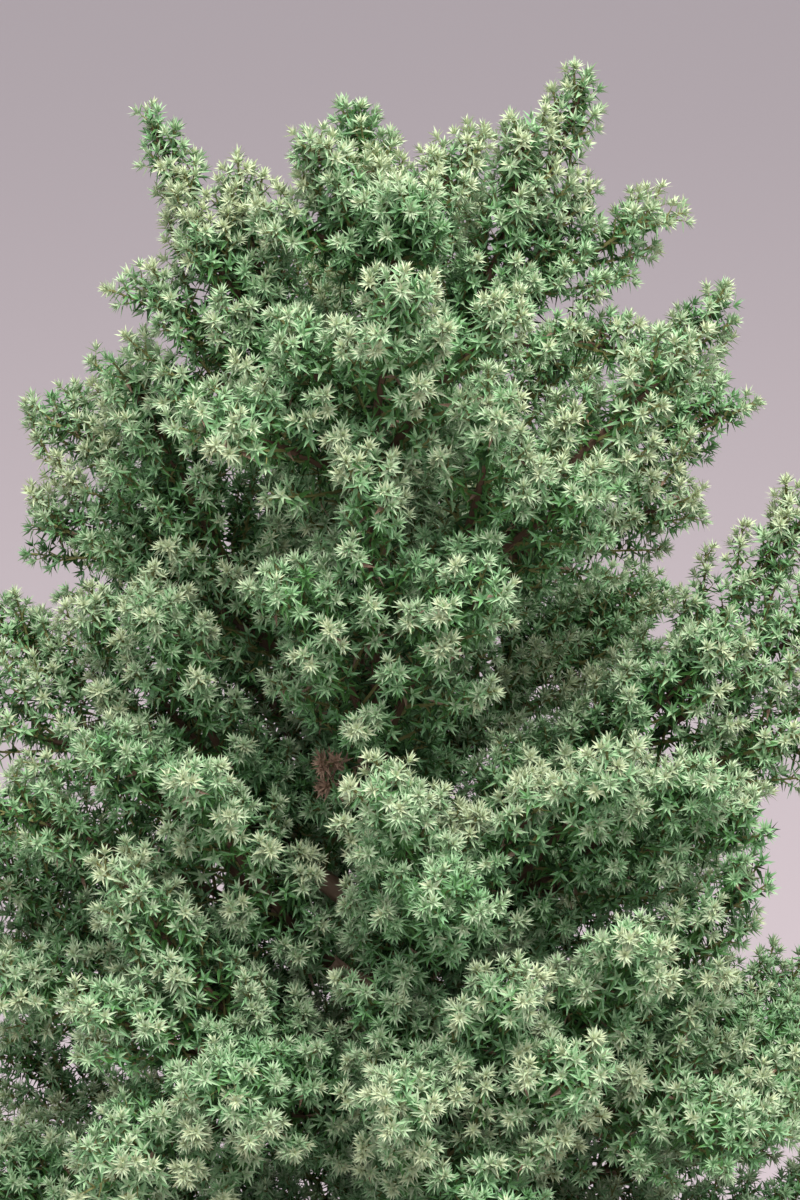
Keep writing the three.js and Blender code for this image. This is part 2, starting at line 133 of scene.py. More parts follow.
# Each limb: name, height of its foot on the trunk, then its leaders,
# each as azimuth in degrees from +X, reach from the middle, height of the tip, half width.
# The lengths of the limbs are in millimetres, as in the source, with so many to a metre.
MILLIMETRES = 1000
LIMBS = [
    ("crown_top", 645, [
        (111, 43, 698, 19), (204, 30, 698, 23), (22, 26, 694, 24), (274, 27, 682, 26),
        (192, 42, 674, 28),
    ]),
    ("crown_left", 585, [
        (167, 82, 700, 19), (174, 52, 685, 24), (180, 82, 649, 32), (184, 63, 668, 26),
        (187, 74, 622, 30),
    ]),
    ("crown_right", 604, [
        (28, 67, 711, 20), (29, 99, 664, 30), (21, 43, 699, 24), (6, 81, 626, 28),
        (27, 66, 674, 26),
    ]),
    ("crown_front", 560, [
        (271, 78, 668, 30), (238, 62, 650, 28), (226, 86, 622, 38), (302, 62, 655, 30),
    ]),
    ("crown_back", 575, [(74, 88, 664, 34), (122, 94, 648, 36), (98, 100, 636, 40)]),
    ("upper_right_front", 518, [(345, 94, 636, 30), (316, 84, 602, 32), (290, 78, 634, 28)]),
    ("upper_right", 530, [(30, 127, 631, 26), (22, 117, 597, 40), (6, 90, 574, 40)]),
    ("upper_left", 490, [
        (151, 137, 590, 33), (149, 117, 606, 26), (158, 130, 553, 49), (176, 88, 622, 38),
    ]),
    ("upper_front", 460, [(243, 76, 572, 34), (287, 84, 575, 34), (262, 72, 612, 28)]),
    ("upper_back", 502, [
        (60, 120, 600, 42), (96, 122, 594, 46), (78, 132, 566, 46), (118, 128, 570, 42),
    ]),
    ("mid_left", 426, [
        (164, 152, 524, 36), (182, 100, 540, 34), (203, 86, 556, 32), (177, 156, 500, 42),
    ]),
    ("mid_right", 420, [(12, 150, 576, 28), (0, 150, 545, 32), (349, 108, 539, 28), (356, 150, 502, 40)]),
    ("mid_front_right", 400, [
        (304, 118, 527, 28), (318, 128, 516, 30), (328, 131, 495, 34), (311, 53, 495, 45),
    ]),
    ("mid_front", 384, [(268, 104, 520, 34), (277, 118, 490, 34), (300, 88, 505, 32)]),
    ("mid_left_front", 394, [(232, 104, 515, 28), (207, 104, 510, 36), (190, 138, 480, 40)]),
    ("mid_back_right", 454, [(50, 142, 504, 45), (76, 146, 528, 50), (60, 152, 486, 50)]),
    ("mid_back_left", 440, [(104, 146, 528, 50), (134, 148, 520, 48), (119, 152, 484, 50)]),
    ("low_left_front", 340, [
        (222, 128, 436, 42), (246, 130, 426, 38), (218, 112, 474, 34), (232, 146, 396, 48),
    ]),
    ("low_front", 325, [
        (270, 132, 430, 36), (294, 140, 438, 36), (286, 122, 460, 34), (281, 148, 390, 44),
        (264, 86, 442, 34),
    ]),
    ("low_front_right", 338, [
        (316, 154, 402, 43), (302, 134, 474, 32), (325, 134, 480, 34), (332, 150, 396, 44),
    ]),
    ("low_right", 350, [(4, 158, 398, 46), (342, 150, 402, 42), (352, 158, 366, 50)]),
    ("low_back_right", 364, [(34, 154, 446, 50), (64, 156, 434, 50), (48, 160, 392, 52)]),
    ("low_back", 352, [(92, 156, 434, 50), (122, 156, 432, 50), (108, 160, 390, 52), (80, 108, 464, 42)]),
    ("low_left", 364, [
        (150, 155, 432, 48), (177, 156, 448, 44), (196, 138, 418, 40), (166, 158, 384, 48),
    ]),
]

# The lowest ring of limbs hides the trunk's foot: evenly spaced, three leaders each,
# given as the share of the way to the next limb, reach and height of the tip
SKIRT = SimpleNamespace(count=5, first=15, foot=264, width=54,
                        leaders=((0.0, 152, 345), (0.5, 152, 345), (0.25, 144, 300)))
for skirt in range(SKIRT.count):
    LIMBS.append((f"skirt_{skirt + 1}", SKIRT.foot, [
        (SKIRT.first + 360 / SKIRT.count * (skirt + share), reach, top, SKIRT.width)
        for share, reach, top in SKIRT.leaders
    ]))

# Every twig: the shares of its length that are tried, where its elbow lies, how much it curves up,
# and how clear its tip stays of trunk and boughs
TWIG = SimpleNamespace(cuts=(0.5, 0.75, 1.0), elbow=0.55, curve=0.35, clearance=0.0035)

# Plumes up a leader: their number, where they stand, their lean at its foot and how it drops to its tip,
# their reach as a share of the space, and the least share of it for a tip. The last runs to the leader's tip.
PLUME = SimpleNamespace(
    least=15, most=60, span=0.97, first_step=0.35,
    lean=66, lean_drop=40, lean_draw=14, turn_draw=30, lift=0.3,
    reach=0.99, reach_draw=0.26, least_sine=0.62, least_share=0.25,
    last_foot=0.72, last_elbow=0.88, seeds=64,
)

# Shoots up a plume: their number, where they stand, their lean, and their length at the plume's tip
SHOOT = SimpleNamespace(
    least=3, most=16, first_at=0.20, span=0.76, step_draw=0.5,
    lean=58, lean_drop=22, lift=0.15,
    length=0.0038, length_gain=0.0060, length_draw=0.4, least_share=0.32, seeds=16,
)

# Sprigs on boughs and trunk between the masses: their lowest foot, the stretch of trunk over each bough's
# foot, their number on each, their length past the wood, how clear they stay of the masses' spaces, and the
# share of a space by which their tones are taken
SPRIG = SimpleNamespace(
    lowest=0.290, stretch=0.030, count=13, step_draw=0.8,
    length=0.025, length_draw=0.5, lean=66, lean_draw=16, lift=0.3,
    clear=0.9, share=0.60, first_seed=8000, trunk_seed=64,
)

# The stems of leaders, plumes and shoots: radius at the foot and at the tip, sides, rings, number of the
# material. A stem without a radius at its tip is a spike.
STEM_KINDS = ((0.0020, 0.0007, 5, 9, 0), (0.0007, 0.0003, 3, 3, 1), (0.0005, 0, 3, 2, 1))

# Bare share of the foot of leaders, plumes and shoots
BARE_FOOT = (0.06, 0.04, 0.08)

# Needles. Inner axes end at a share of the space, and have more or less of what follows. Needles stand
# thinner on a long axis and down it, but for the tuft at the tip. They lean, open and droop with the way back
# from it, and grow on from a bud's length and width. Last the draws, the kite's form and its two tones: most
# needles have their second face a tone darker, painted shade on one side of the fold.
NEEDLE = SimpleNamespace(
    inner_from=0.45, inner_to=0.70, inner_step=1.8, inner_tuft=0.6, inner_length=0.20, inner_width=0.30,
    long_axis=0.030, thinning=1.3, tuft_depth=0.0010,
    lean=46, lean_gain=44, tuft_lean=6, tuft_gain=62, opening=0.0036, droop=0.22,
    growth=0.0042, growth_start=0.0005, bud_length=0.55, bud_width=0.60,
    lean_draw=18, length_draw=0.36, width_draw=0.24, twist_draw=0.3, seeds=97,
    shoulder=0.24, keel=0.26, bow=-0.10, tuft_bow=0.12, one_tone=0.3,
)

# The needles' tones, from the bud at a shoot's tip inwards; the shade tone is painted shade
TONES = ("bud", "pale", "fresh", "glaucous", "leaf", "deep", "shade", "withered")
LEAF, DEEP, SHADE, WITHERED = (TONES.index(tone) for tone in ("leaf", "deep", "shade", "withered"))

# A needle's age in tones, and painted shade: the way back from the tip that makes one tone, what its spray,
# its own draw, the patch of the crown and the depth in it add, the depth partly for the older inner needles
# and partly as painted shade, the depth past which grown needles take the painted shade tone, and where old
# needles wither
AGE_AND_SHADE = SimpleNamespace(
    first=0.75, step=0.0036, spray=1.1, needle=1.1, patch=1.5, patch_scale=75, patch_seed=11,
    depth=2.2, depth_power=1.3, deep_share=0.45, depth_span=0.45,
    shade_from=0.75, old_from=0.005, alive=0.975,
)

# A clump in the cleft below the crown, in which every needle is withered
WITHERED_CLUMP = np.array([-0.034, -0.046, 0.502])
WITHERED_REACH = 0.015

# The stage: the floor's sides, the camera's clipping, and the place, size and aim of the light
STAGE = SimpleNamespace(floor_sides=96, clip_start=0.01, clip_end=60, light=(0.25, -0.6, 2.3),
                        light_size=1.6, light_aim=0.45)


# Growing

def draw(k, c):
    """A repeatable draw between 0 and 1 for piece k and purpose c: the fraction of a large sine."""
    x = np.sin(np.asarray(k, float) * 12.9898 + c * 78.233 + 1.7) * 43758.5453
    return x - np.floor(x)


def drawn(mean, spread, k, c):
    """A repeatable draw about a mean, with half the spread to each side."""
    return mean + spread * (draw(k, c) - 0.5)


def unit(v):
    """Each vector over its own length."""
    return v / np.linalg.norm(v, axis=-1, keepdims=True)


def smoothstep(x, low, high):
    """Rises smoothly from 0 at low to 1 at high: three squares of the share less two cubes of it."""
    t = np.clip((x - low) / (high - low), 0, 1)
    return t * t * (3 - 2 * t)


def across(d):
    """Two directions square to each direction d and to each other."""
    steep = np.abs(d[..., 2:3]) >= 0.9
    a = unit(np.cross(np.where(steep, [1.0, 0.0, 0.0], UP), d))
    return a, np.cross(d, a)


def bezier(a, b, c, t):
    """A quadratic curve's place at t: its ends a and c and its elbow b, weighted (1-t)^2, 2t(1-t) and t^2."""
    t = np.asarray(t, float)[..., None]
    return (1 - t) ** 2 * a + 2 * t * (1 - t) * b + t * t * c


def bezier_heading(a, b, c, t):
    """The same curve's direction at t."""
    t = np.asarray(t, float)[..., None]
    return unit((1 - t) * (b - a) + t * (c - b))


def trunk_axis(z):
    """The middle line of the trunk: a straight lean to the left, and a slow sine both across and in depth."""
    z = np.asarray(z, float)
    t = (z - GROUND) / (TIP - GROUND)
    x = TRUNK.lean * t + TRUNK.sway * np.sin(2 * np.pi * TRUNK.sway_turns * t)
    y = TRUNK.side_sway * np.sin(2 * np.pi * TRUNK.side_sway_turns * t)
    return np.stack([x, y, z], -1)


def trunk_radius(z):
    """The trunk's radius without its lobes: a taper by a power of the height, and a flare that decays."""
    t = np.clip((z - GROUND) / (TIP - GROUND), 0, 1)
    taper = TRUNK.foot_radius + (TRUNK.tip_radius - TRUNK.foot_radius) * t ** TRUNK.taper
    return taper + TRUNK.flare * np.exp(-(z - GROUND) / TRUNK.flare_height)


def width_at(t, width):
    """Half width of a leader's space at share t of its length: slim at the foot, full, then a slim tip."""
    filled = SPACE.foot_width + (1 - SPACE.foot_width) * smoothstep(t, 0, SPACE.full_at)
    return width * filled * (1 - SPACE.slimming * t ** SPACE.slim_power)


def lay_out(limb):
    """One limb's bough, as foot, bend and fork, with its leaders as stem end, elbow, tip and half width."""
    name, foot, leaders = limb
    foot = foot / MILLIMETRES
    start = trunk_axis(foot)
    azimuth, *lengths = np.array(leaders, float).T
    reach, top, width = np.array(lengths) / MILLIMETRES
    turn = np.radians(azimuth)
    tips = np.stack([reach * np.cos(turn), reach * np.sin(turn), top], -1)
    if foot > TIP:
        fork, heading, bend = trunk_axis(TIP), UP, None
    else:
        fork = start + (tips.mean(0) - start) * BOUGH.fork
        bend = start + (fork - start) * BOUGH.bend
        heading = unit(fork - bend)
    stem_end = fork + STEM.length * heading
    span = tips - stem_end
    ahead = LEADER.ahead * np.linalg.norm(span, axis=1, keepdims=True) * heading
    elbow = stem_end + ahead + LEADER.straight * span
    return {"name": name, "start": start, "bend": bend, "fork": fork, "stem_end": stem_end,
            "elbow": elbow, "tips": tips, "width": width}


@functools.cache
def limbs():
    """Every limb's bough and leaders."""
    return [lay_out(limb) for limb in LIMBS]


def boughs():
    """The limbs that have a bough, each with its number. The first limb stands on the trunk's tip."""
    return [(i, limb) for i, limb in enumerate(limbs()) if limb["bend"] is not None]


@functools.cache
def leaders():
    """All leaders as arrays: mass, stem end, elbow, tip, half width."""
    laid = limbs()
    counts = [len(limb["tips"]) for limb in laid]
    mass = np.repeat(np.arange(len(laid)), counts)
    foot = np.repeat([limb["stem_end"] for limb in laid], counts, axis=0)
    elbow, tip, width = (np.concatenate([limb[name] for limb in laid]) for name in ("elbow", "tips", "width"))
    return mass, foot, elbow, tip, width


def shares(points, own):
    """How far each point lies out in its own mass's space and in the nearest other's.

    A space is a row of balls up each leader. A share is the least distance to a ball's centre over the
    ball's radius.
    """
    mass, foot, elbow, tip, width = leaders()
    t = np.linspace(0, 1, SPACE.balls)
    centre = bezier(foot[:, None], elbow[:, None], tip[:, None], t[None])
    radius = width_at(t[None], width[:, None])
    inside = np.full(len(points), np.inf)
    outside = np.full(len(points), np.inf)
    for leader in range(len(mass)):
        square = ((points[:, None] - centre[leader][None]) ** 2).sum(-1) / radius[leader] ** 2
        share = np.sqrt(square.min(1))
        mine = own == mass[leader]
        inside = np.where(mine, np.minimum(inside, share), inside)
        outside = np.where(mine, outside, np.minimum(outside, share))
    return inside, outside


def limb_clearance(points):
    """Distance from each point to the nearest trunk or bough surface."""
    z = np.clip(points[:, 2], GROUND, TIP)
    least = np.linalg.norm(points - trunk_axis(z), axis=1) - trunk_radius(z)
    t = np.linspace(0, 1, BOUGH.samples)
    for _, limb in boughs():
        line = bezier(limb["start"], limb["bend"], limb["fork"], t)
        reach = np.linalg.norm(points[:, None] - line[None], axis=2).min(1)
        least = np.minimum(least, reach - BOUGH.foot_radius)
    return least


class Axes:
    """Twig axes as arrays: the foot, elbow and tip of each curve, its mass, seed and share of the space."""

    NAMES = ("foot", "elbow", "tip", "mass", "seed", "share")

    def __init__(self, foot, elbow, tip, mass, seed, share):
        self.foot, self.elbow, self.tip = foot, elbow, tip
        self.mass, self.seed, self.share = mass, seed, share

    @property
    def length(self):
        """The straight way from each foot to its tip."""
        return np.linalg.norm(self.tip - self.foot, axis=1)

    def pick(self, keep):
        """Only the axes that keep names."""
        return Axes(*(getattr(self, name)[keep] for name in self.NAMES))

    def place(self, which, t):
        """Where share t of these axes lies."""
        return bezier(self.foot[which], self.elbow[which], self.tip[which], t)

    def heading(self, which, t):
        """Which way these axes run at share t."""
        return bezier_heading(self.foot[which], self.elbow[which], self.tip[which], t)

    @staticmethod
    def joined(groups):
        """The axes of all groups in one."""
        return Axes(*(np.concatenate([getattr(group, name) for group in groups]) for name in Axes.NAMES))


def branch(parent, which, t, angle, turn, length, lift, seed, least_share, between=False):
    """Twigs that leave their parents at share t, at an angle from them, and curve upwards.

    Each is tried at full length and shorter, and kept at the longest that stays in its mass's own space or,
    for a twig between the masses, out of the others' spaces.
    """
    foot = parent.place(which, t)
    along = parent.heading(which, t)
    a, b = across(along)
    side = a * np.cos(turn)[:, None] + b * np.sin(turn)[:, None]
    heading = unit(along * np.cos(angle)[:, None] + side * np.sin(angle)[:, None] + lift * UP)
    mass = parent.mass[which]
    best = np.zeros(len(foot))
    share = np.zeros(len(foot))
    for cut in TWIG.cuts:
        tip = foot + heading * (length * cut)[:, None] + UP * (lift * TWIG.curve * length * cut)[:, None]
        inside, outside = shares(tip, mass)
        if between:
            room = outside > SPRIG.clear
        else:
            room = (inside < 1) & (inside < outside) & (inside > least_share)
        fits = room & (limb_clearance(tip) > TWIG.clearance)
        best = np.where(fits, cut, best)
        share = np.where(fits, SPRIG.share if between else inside, share)
    keep = best > 0
    foot, heading, length = foot[keep], heading[keep], (length * best)[keep]
    tip = foot + heading * length[:, None] + UP * (lift * TWIG.curve * length)[:, None]
    elbow = foot + heading * (TWIG.elbow * length)[:, None]
    return Axes(foot, elbow, tip, mass[keep], seed[keep], share[keep])


def runs(counts):
    """For counts of pieces on each parent: the parent of each piece and its number there."""
    owner = np.repeat(np.arange(len(counts)), counts)
    return owner, np.arange(len(owner)) - np.repeat(np.cumsum(counts) - counts, counts)


def sprigs():
    """Short plumes on the boughs and the trunk, where these pass between the masses.

    They stand on each bough, and on the stretch of the trunk over each bough's foot, a golden angle apart.
    """
    mass = np.array([i for i, _ in boughs()])
    foot, bend, fork = (np.array([limb[name] for _, limb in boughs()]) for name in ("start", "bend", "fork"))
    low = np.maximum(foot[:, 2], SPRIG.lowest)
    stretch = [trunk_axis(low + rise) for rise in (0, SPRIG.stretch / 2, SPRIG.stretch)]
    none = np.zeros(len(mass))
    on_boughs = Axes(foot, bend, fork, mass, mass, none)
    on_trunk = Axes(*stretch, mass, mass + SPRIG.trunk_seed, none)
    parents = Axes.joined([on_boughs, on_trunk])
    parent, i = runs(np.full(len(parents.mass), SPRIG.count))
    seed = SPRIG.first_seed + parents.seed[parent] * SPRIG.count + i
    t = (i + drawn(0.5, SPRIG.step_draw, seed, 1)) / SPRIG.count
    wood = np.where(parent < len(mass), BOUGH.foot_radius, trunk_radius(parents.place(parent, t)[:, 2]))
    length = wood + SPRIG.length * drawn(1, SPRIG.length_draw, seed, 3)
    angle = np.radians(drawn(SPRIG.lean, SPRIG.lean_draw, seed, 2))
    return branch(parents, parent, t, angle, GOLDEN_ANGLE * seed, length, SPRIG.lift, seed, 0, between=True)


def shoots_on(plumes, shoot_pitch, between):
    """The side shoots of plumes, shorter towards the plume's tip."""
    counts = np.clip(plumes.length / shoot_pitch, SHOOT.least, SHOOT.most).astype(int)
    plume, j = runs(counts)
    seed = plumes.seed[plume] * SHOOT.seeds + j
    t = SHOOT.first_at + SHOOT.span * (j + SHOOT.step_draw * draw(seed, 4)) / counts[plume]
    angle = np.radians(SHOOT.lean - SHOOT.lean_drop * t)
    length = (SHOOT.length + SHOOT.length_gain * (1 - t)) * drawn(1, SHOOT.length_draw, seed, 5)
    return branch(plumes, plume, t, angle, GOLDEN_ANGLE * seed, length, SHOOT.lift, seed, SHOOT.least_share,
                  between)


def plumes_on(stems, width, plume_area):
    """The side plumes of leaders, and the last one of each, which runs on to the leader's own tip."""
    counts = np.clip(stems.length * width / plume_area, PLUME.least, PLUME.most).astype(int)
    leader, i = runs(counts)
    seed = leader * PLUME.seeds + i
    t = PLUME.span * (i + PLUME.first_step) / counts[leader]
    angle = np.radians(drawn(PLUME.lean - PLUME.lean_drop * t, PLUME.lean_draw, seed, 1))
    turn = GOLDEN_ANGLE * seed + np.radians(PLUME.turn_draw) * draw(seed, 2)
    reach = width_at(t, width[leader]) * drawn(PLUME.reach, PLUME.reach_draw, seed, 3)
    length = reach / np.maximum(np.sin(angle), PLUME.least_sine)
    side_plumes = branch(stems, leader, t, angle, turn, length, PLUME.lift, seed, PLUME.least_share)

    which = np.arange(len(width))
    foot = stems.place(which, np.full(len(width), PLUME.last_foot))
    elbow = stems.place(which, np.full(len(width), PLUME.last_elbow))
    seed = which * PLUME.seeds + PLUME.seeds - 1
    last = Axes(foot, elbow, stems.tip, stems.mass, seed, np.ones(len(width)))
    return Axes.joined([side_plumes, last])


@functools.cache
def grow(plume_area, shoot_pitch):
    """The whole branching: leaders, then the plumes on them with the sprigs, then the shoots on both.

    A leader bears one plume for each plume area of its space's side, and a plume one shoot for each pitch of
    its length, so that wide masses are as dense as slim ones.
    """
    mass, foot, elbow, tip, width = leaders()
    stems = Axes(foot, elbow, tip, mass, np.arange(len(mass)), np.ones(len(mass)))
    plumes = plumes_on(stems, width, plume_area)
    filling = sprigs()
    shoots = [shoots_on(plumes, shoot_pitch, between=False), shoots_on(filling, shoot_pitch, between=True)]
    return stems, Axes.joined([plumes, filling]), Axes.joined(shoots)


# Meshes

def make_mesh(name, points, faces, tones=None, smooth=False):
    """A mesh object at the origin. faces is a list of arrays with one row of point numbers for each face."""
    mesh = bpy.data.meshes.new(name)
    sizes = np.concatenate([np.full(len(f), f.shape[1]) for f in faces])
    corners = np.concatenate([f.ravel() for f in faces])
    mesh.vertices.add(len(points))
    mesh.vertices.foreach_set("co", np.asarray(points, np.float32).ravel())
    mesh.loops.add(len(corners))
    mesh.loops.foreach_set("vertex_index", corners.astype(np.int32))
    mesh.polygons.add(len(sizes))
    starts = np.concatenate([[0], np.cumsum(sizes)[:-1]])
    mesh.polygons.foreach_set("loop_start", starts.astype(np.int32))
    if tones is not None:
        mesh.polygons.foreach_set("material_index", np.asarray(tones, np.int32))
    mesh.polygons.foreach_set("use_smooth", np.full(len(sizes), smooth))
    mesh.update(calc_edges=True)
    made = bpy.data.objects.new(name, mesh)
    bpy.context.scene.collection.objects.link(made)
    return made


def dress(piece, materials, slot, *nodes):
    """Gives a piece its materials and the nodes that it stands for. Its slot is not used."""
    for material in materials:
        piece.data.materials.append(material)
    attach(piece, BODY)
    if nodes:
        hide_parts(*nodes)


def grid_faces(rows, columns):
    """Quads of a grid of points whose columns close on themselves. They face outwards where rows run up."""
    r, c = np.meshgrid(np.arange(rows - 1), np.arange(columns), indexing="ij")
    a = r * columns + c
    b = r * columns + (c + 1) % columns
    return np.stack([a, b, b + columns, a + columns], -1).reshape(-1, 4)


def end_fans(rows, sides):
    """Triangles that close such a grid at both ends, round the two points that follow its last one."""
    s = np.arange(sides)
    last = (rows - 1) * sides
    foot = np.stack([np.full(sides, rows * sides), (s + 1) % sides, s], -1)
    tip = np.stack([np.full(sides, rows * sides + 1), last + s, last + (s + 1) % sides], -1)
    return np.concatenate([foot, tip])


def turns(sides):
    """Angles evenly round a full turn."""
    return 2 * np.pi * np.arange(sides) / sides


def around(a, b, sides):
    """Directions evenly round each pair of directions a and b that are square to each other."""
    angle = turns(sides)[None, :, None]
    return a[:, None] * np.cos(angle) + b[:, None] * np.sin(angle)


def tubes(paths, radii, sides):
    """Closed tubes as points, quads and triangles: rings round each path's places, and flat ends."""
    count, rings = radii.shape
    a, b = across(unit(paths[:, -1] - paths[:, 0]))
    points = paths[:, :, None] + radii[:, :, None, None] * around(a, b, sides)[:, None]
    fan = np.arange(1, sides - 1)
    foot_cap = np.stack([np.zeros_like(fan), fan + 1, fan], -1)
    tip_cap = (rings - 1) * sides + np.stack([np.zeros_like(fan), fan, fan + 1], -1)
    first = (np.arange(count) * rings * sides)[:, None, None]
    walls = (grid_faces(rings, sides)[None] + first).reshape(-1, 4)
    caps = (np.concatenate([foot_cap, tip_cap])[None] + first).reshape(-1, 3)
    return points.reshape(-1, 3), walls, caps


def spikes(foot, tip, radius):
    """Closed spikes as points, no quads and triangles: three points round each foot and one at the tip."""
    a, b = across(unit(tip - foot))
    ring = foot[:, None] + radius * around(a, b, 3)
    points = np.concatenate([ring, tip[:, None]], 1)
    first = (4 * np.arange(len(foot)))[:, None, None]
    one = np.array([[0, 1, 3], [1, 2, 3], [2, 0, 3], [0, 2, 1]])
    return points.reshape(-1, 3), np.zeros((0, 4), int), (one[None] + first).reshape(-1, 3)


def join(parts):
    """The points of all parts, and their faces as one array of quads and one of triangles."""
    first = np.cumsum([0] + [len(part[0]) for part in parts])
    quads = np.concatenate([part[1] + start for part, start in zip(parts, first)])
    triangles = np.concatenate([part[2] + start for part, start in zip(parts, first)])
    return np.concatenate([part[0] for part in parts]), [quads, triangles]


# Materials

class Value:
    """A shader value. Arithmetic on it adds the Math nodes that work it out."""

    def __init__(self, shade, socket):
        self.shade = shade
        self.socket = socket

    def _math(self, operation, first, second):
        return self.shade.node("ShaderNodeMath", {"operation": operation}, {0: first, 1: second})

    def __add__(self, other):
        return self._math("ADD", self, other)

    def __rsub__(self, other):
        return self._math("SUBTRACT", other, self)

    def __mul__(self, other):
        return self._math("MULTIPLY", self, other)

    __radd__ = __add__
    __rmul__ = __mul__


class Shade:
    """A material in the making. Plain values are set on the shader's own sockets."""

    def __init__(self, name, colour, roughness, specular):
        self.material = bpy.data.materials.new(name)
        self.material.use_nodes = True
        self.tree = self.material.node_tree
        self.surface = self.tree.nodes["Principled BSDF"]
        self.surface.inputs["Base Color"].default_value = (*colour, 1)
        self.surface.inputs["Roughness"].default_value = roughness
        self.surface.inputs["Specular IOR Level"].default_value = specular

    def put(self, socket, value):
        """Links a value to a socket, or sets the socket to a plain number or colour."""
        if isinstance(value, Value):
            self.tree.links.new(value.socket, socket)
        elif hasattr(value, "__len__") and len(value) == 3 and socket.type == "RGBA":
            socket.default_value = (*value, 1)
        else:
            socket.default_value = value

    def node(self, kind, settings=None, sockets=None, output=0):
        """Adds a node: its settings first, then the value or link of each socket that is named."""
        made = self.tree.nodes.new(kind)
        for name, value in (settings or {}).items():
            setattr(made, name, value)
        for name, value in (sockets or {}).items():
            self.put(made.inputs[name], value)
        return Value(self, made.outputs[output])

    def mix(self, factor, first, second):
        """A blend of two colours."""
        return self.node("ShaderNodeMix", {"data_type": "RGBA"}, {0: factor, 6: first, 7: second}, 2)

    def place(self):
        """Where a point lies on its object."""
        return self.node("ShaderNodeTexCoord", output="Object")

    def noise(self, where, scale, detail, roughness=0.55):
        """Noise with so many lumps in a metre, in so many octaves."""
        return self.node("ShaderNodeTexNoise", None,
                         {"Vector": where, "Scale": scale, "Detail": detail, "Roughness": roughness})

    def between(self, value, low, high):
        """Rises from 0 to 1 as value goes from low to high."""
        return self.node("ShaderNodeMapRange", {"clamp": True},
                         {"Value": value, "From Min": low, "From Max": high})

    def finish(self, colour, roughness, height, distance, strength=1.0):
        """Gives the surface its colour, roughness and bumps, and returns the material."""
        bumped = self.node("ShaderNodeBump", None,
                           {"Height": height, "Distance": distance, "Strength": strength})
        for socket, value in (("Base Color", colour), ("Roughness", roughness), ("Normal", bumped)):
            self.put(self.surface.inputs[socket], value)
        return self.material


def bark_material(settings):
    """Fibrous red-brown bark: long furrows with painted shade in their depths, greyer where it weathers."""
    shade = Shade("bark", settings.bark_colour, 0.9, specular=0.25)
    grain = shade.node("ShaderNodeAttribute", {"attribute_name": "grain"}, output="Vector")
    furrow = shade.noise(grain, scale=260.0, detail=5.0, roughness=0.6)
    patch = shade.noise(grain, scale=45.0, detail=3.0)
    weathered = shade.between(patch, low=0.4, high=0.62)
    # Painted shade: darker where the furrow noise, which is also the bump's height, is low
    depth = 1 - shade.between(furrow, low=0.36, high=0.56)
    base = shade.mix(weathered, settings.bark_colour, settings.weathered_colour)
    colour = shade.mix(depth, base, settings.furrow_shade_colour)
    return shade.finish(colour, 0.8 + 0.18 * patch, furrow, distance=0.0012)


def clay_material(settings):
    """Fired clay: soft blotches, a paler lime bloom near the foot and rim, fine pits and turning marks."""
    shade = Shade("clay", settings.clay_colour, 0.85, specular=0.3)
    where = shade.place()
    blotch = shade.noise(where, scale=16.0, detail=4.0)
    pits = shade.noise(where, scale=900.0, detail=2.0)
    squashed = shade.node("ShaderNodeMapping", None, {"Vector": where, "Scale": (4, 4, 260)})
    turned = shade.noise(squashed, scale=1.0, detail=2.0)
    bloom_patch = shade.noise(where, scale=38.0, detail=5.0, roughness=0.65)
    height = shade.node("ShaderNodeSeparateXYZ", None, {0: where}, "Z")
    near_foot = 1 - shade.between(height, low=0.0, high=0.075)
    near_rim = shade.between(height, low=POT_HIGH.z - 0.045, high=POT_HIGH.z)
    bloom = shade.between(bloom_patch + 0.22 * near_foot + 0.1 * near_rim, low=0.56, high=0.82)
    dark = shade.between(blotch, low=0.35, high=0.65)
    base = shade.mix(dark, settings.clay_colour, settings.clay_dark)
    colour = shade.mix(0.62 * bloom, base, settings.bloom_colour)
    relief = 0.5 * pits + 0.5 * turned
    return shade.finish(colour, 0.78 + 0.16 * bloom, relief, distance=0.0006, strength=0.6)


def mix_material(settings):
    """Potting mix: dark crumbs with a few paler ones, and crumbly bumps."""
    shade = Shade("potting_mix", settings.mix_colour, 0.95, specular=0.2)
    where = shade.place()
    crumb = shade.node("ShaderNodeTexVoronoi", None, {"Vector": where, "Scale": 320.0})
    tone = shade.noise(where, scale=120.0, detail=4.0, roughness=0.7)
    pale = shade.between(tone, low=0.42, high=0.66)
    colour = shade.mix(pale, settings.mix_colour, settings.crumb_colour)
    return shade.finish(colour, 0.84 + 0.14 * tone, crumb, distance=0.0014)


def chip_material(settings):
    """Shredded bark in the mix: streaked along its grain."""
    shade = Shade("bark_chip", settings.chip_colour, 0.9, specular=0.2)
    streak = shade.noise(shade.place(), scale=420.0, detail=4.0, roughness=0.65)
    dark = shade.between(streak, low=0.4, high=0.62)
    colour = shade.mix(dark, settings.chip_colour, settings.mix_colour)
    return shade.finish(colour, 0.82 + 0.16 * streak, streak, distance=0.0008)


def plain_material(name, colour, roughness):
    """One colour all over."""
    return Shade(name, colour, roughness, specular=0.35).material


# Surfaces

def furrows(angle, along, seed):
    """Bark relief between -1 and 1, as ridges round a limb.

    It is a weighted sum of sines round the limb, whose phases drift along it as two more sines do. The size
    of the sum is raised to a power, doubled and lowered by one, which makes the furrows sharp.
    """
    relief = np.zeros(np.broadcast(angle, along).shape)
    slow, slow_waves, slow_more = FURROW.slow
    fast, fast_waves, fast_more = FURROW.fast
    for i, (ridges, weight) in enumerate(FURROW.sets):
        drift = slow * np.sin(along * (slow_waves + slow_more * i) + FURROW.drift_phase * draw(seed, i))
        drift = drift + fast * np.sin(along * (fast_waves + fast_more * i) + i)
        relief = relief + weight * np.sin(ridges * angle + drift + PHASE * draw(seed, 10 + i))
    return np.abs(relief) ** FURROW.sharpness * 2 - 1


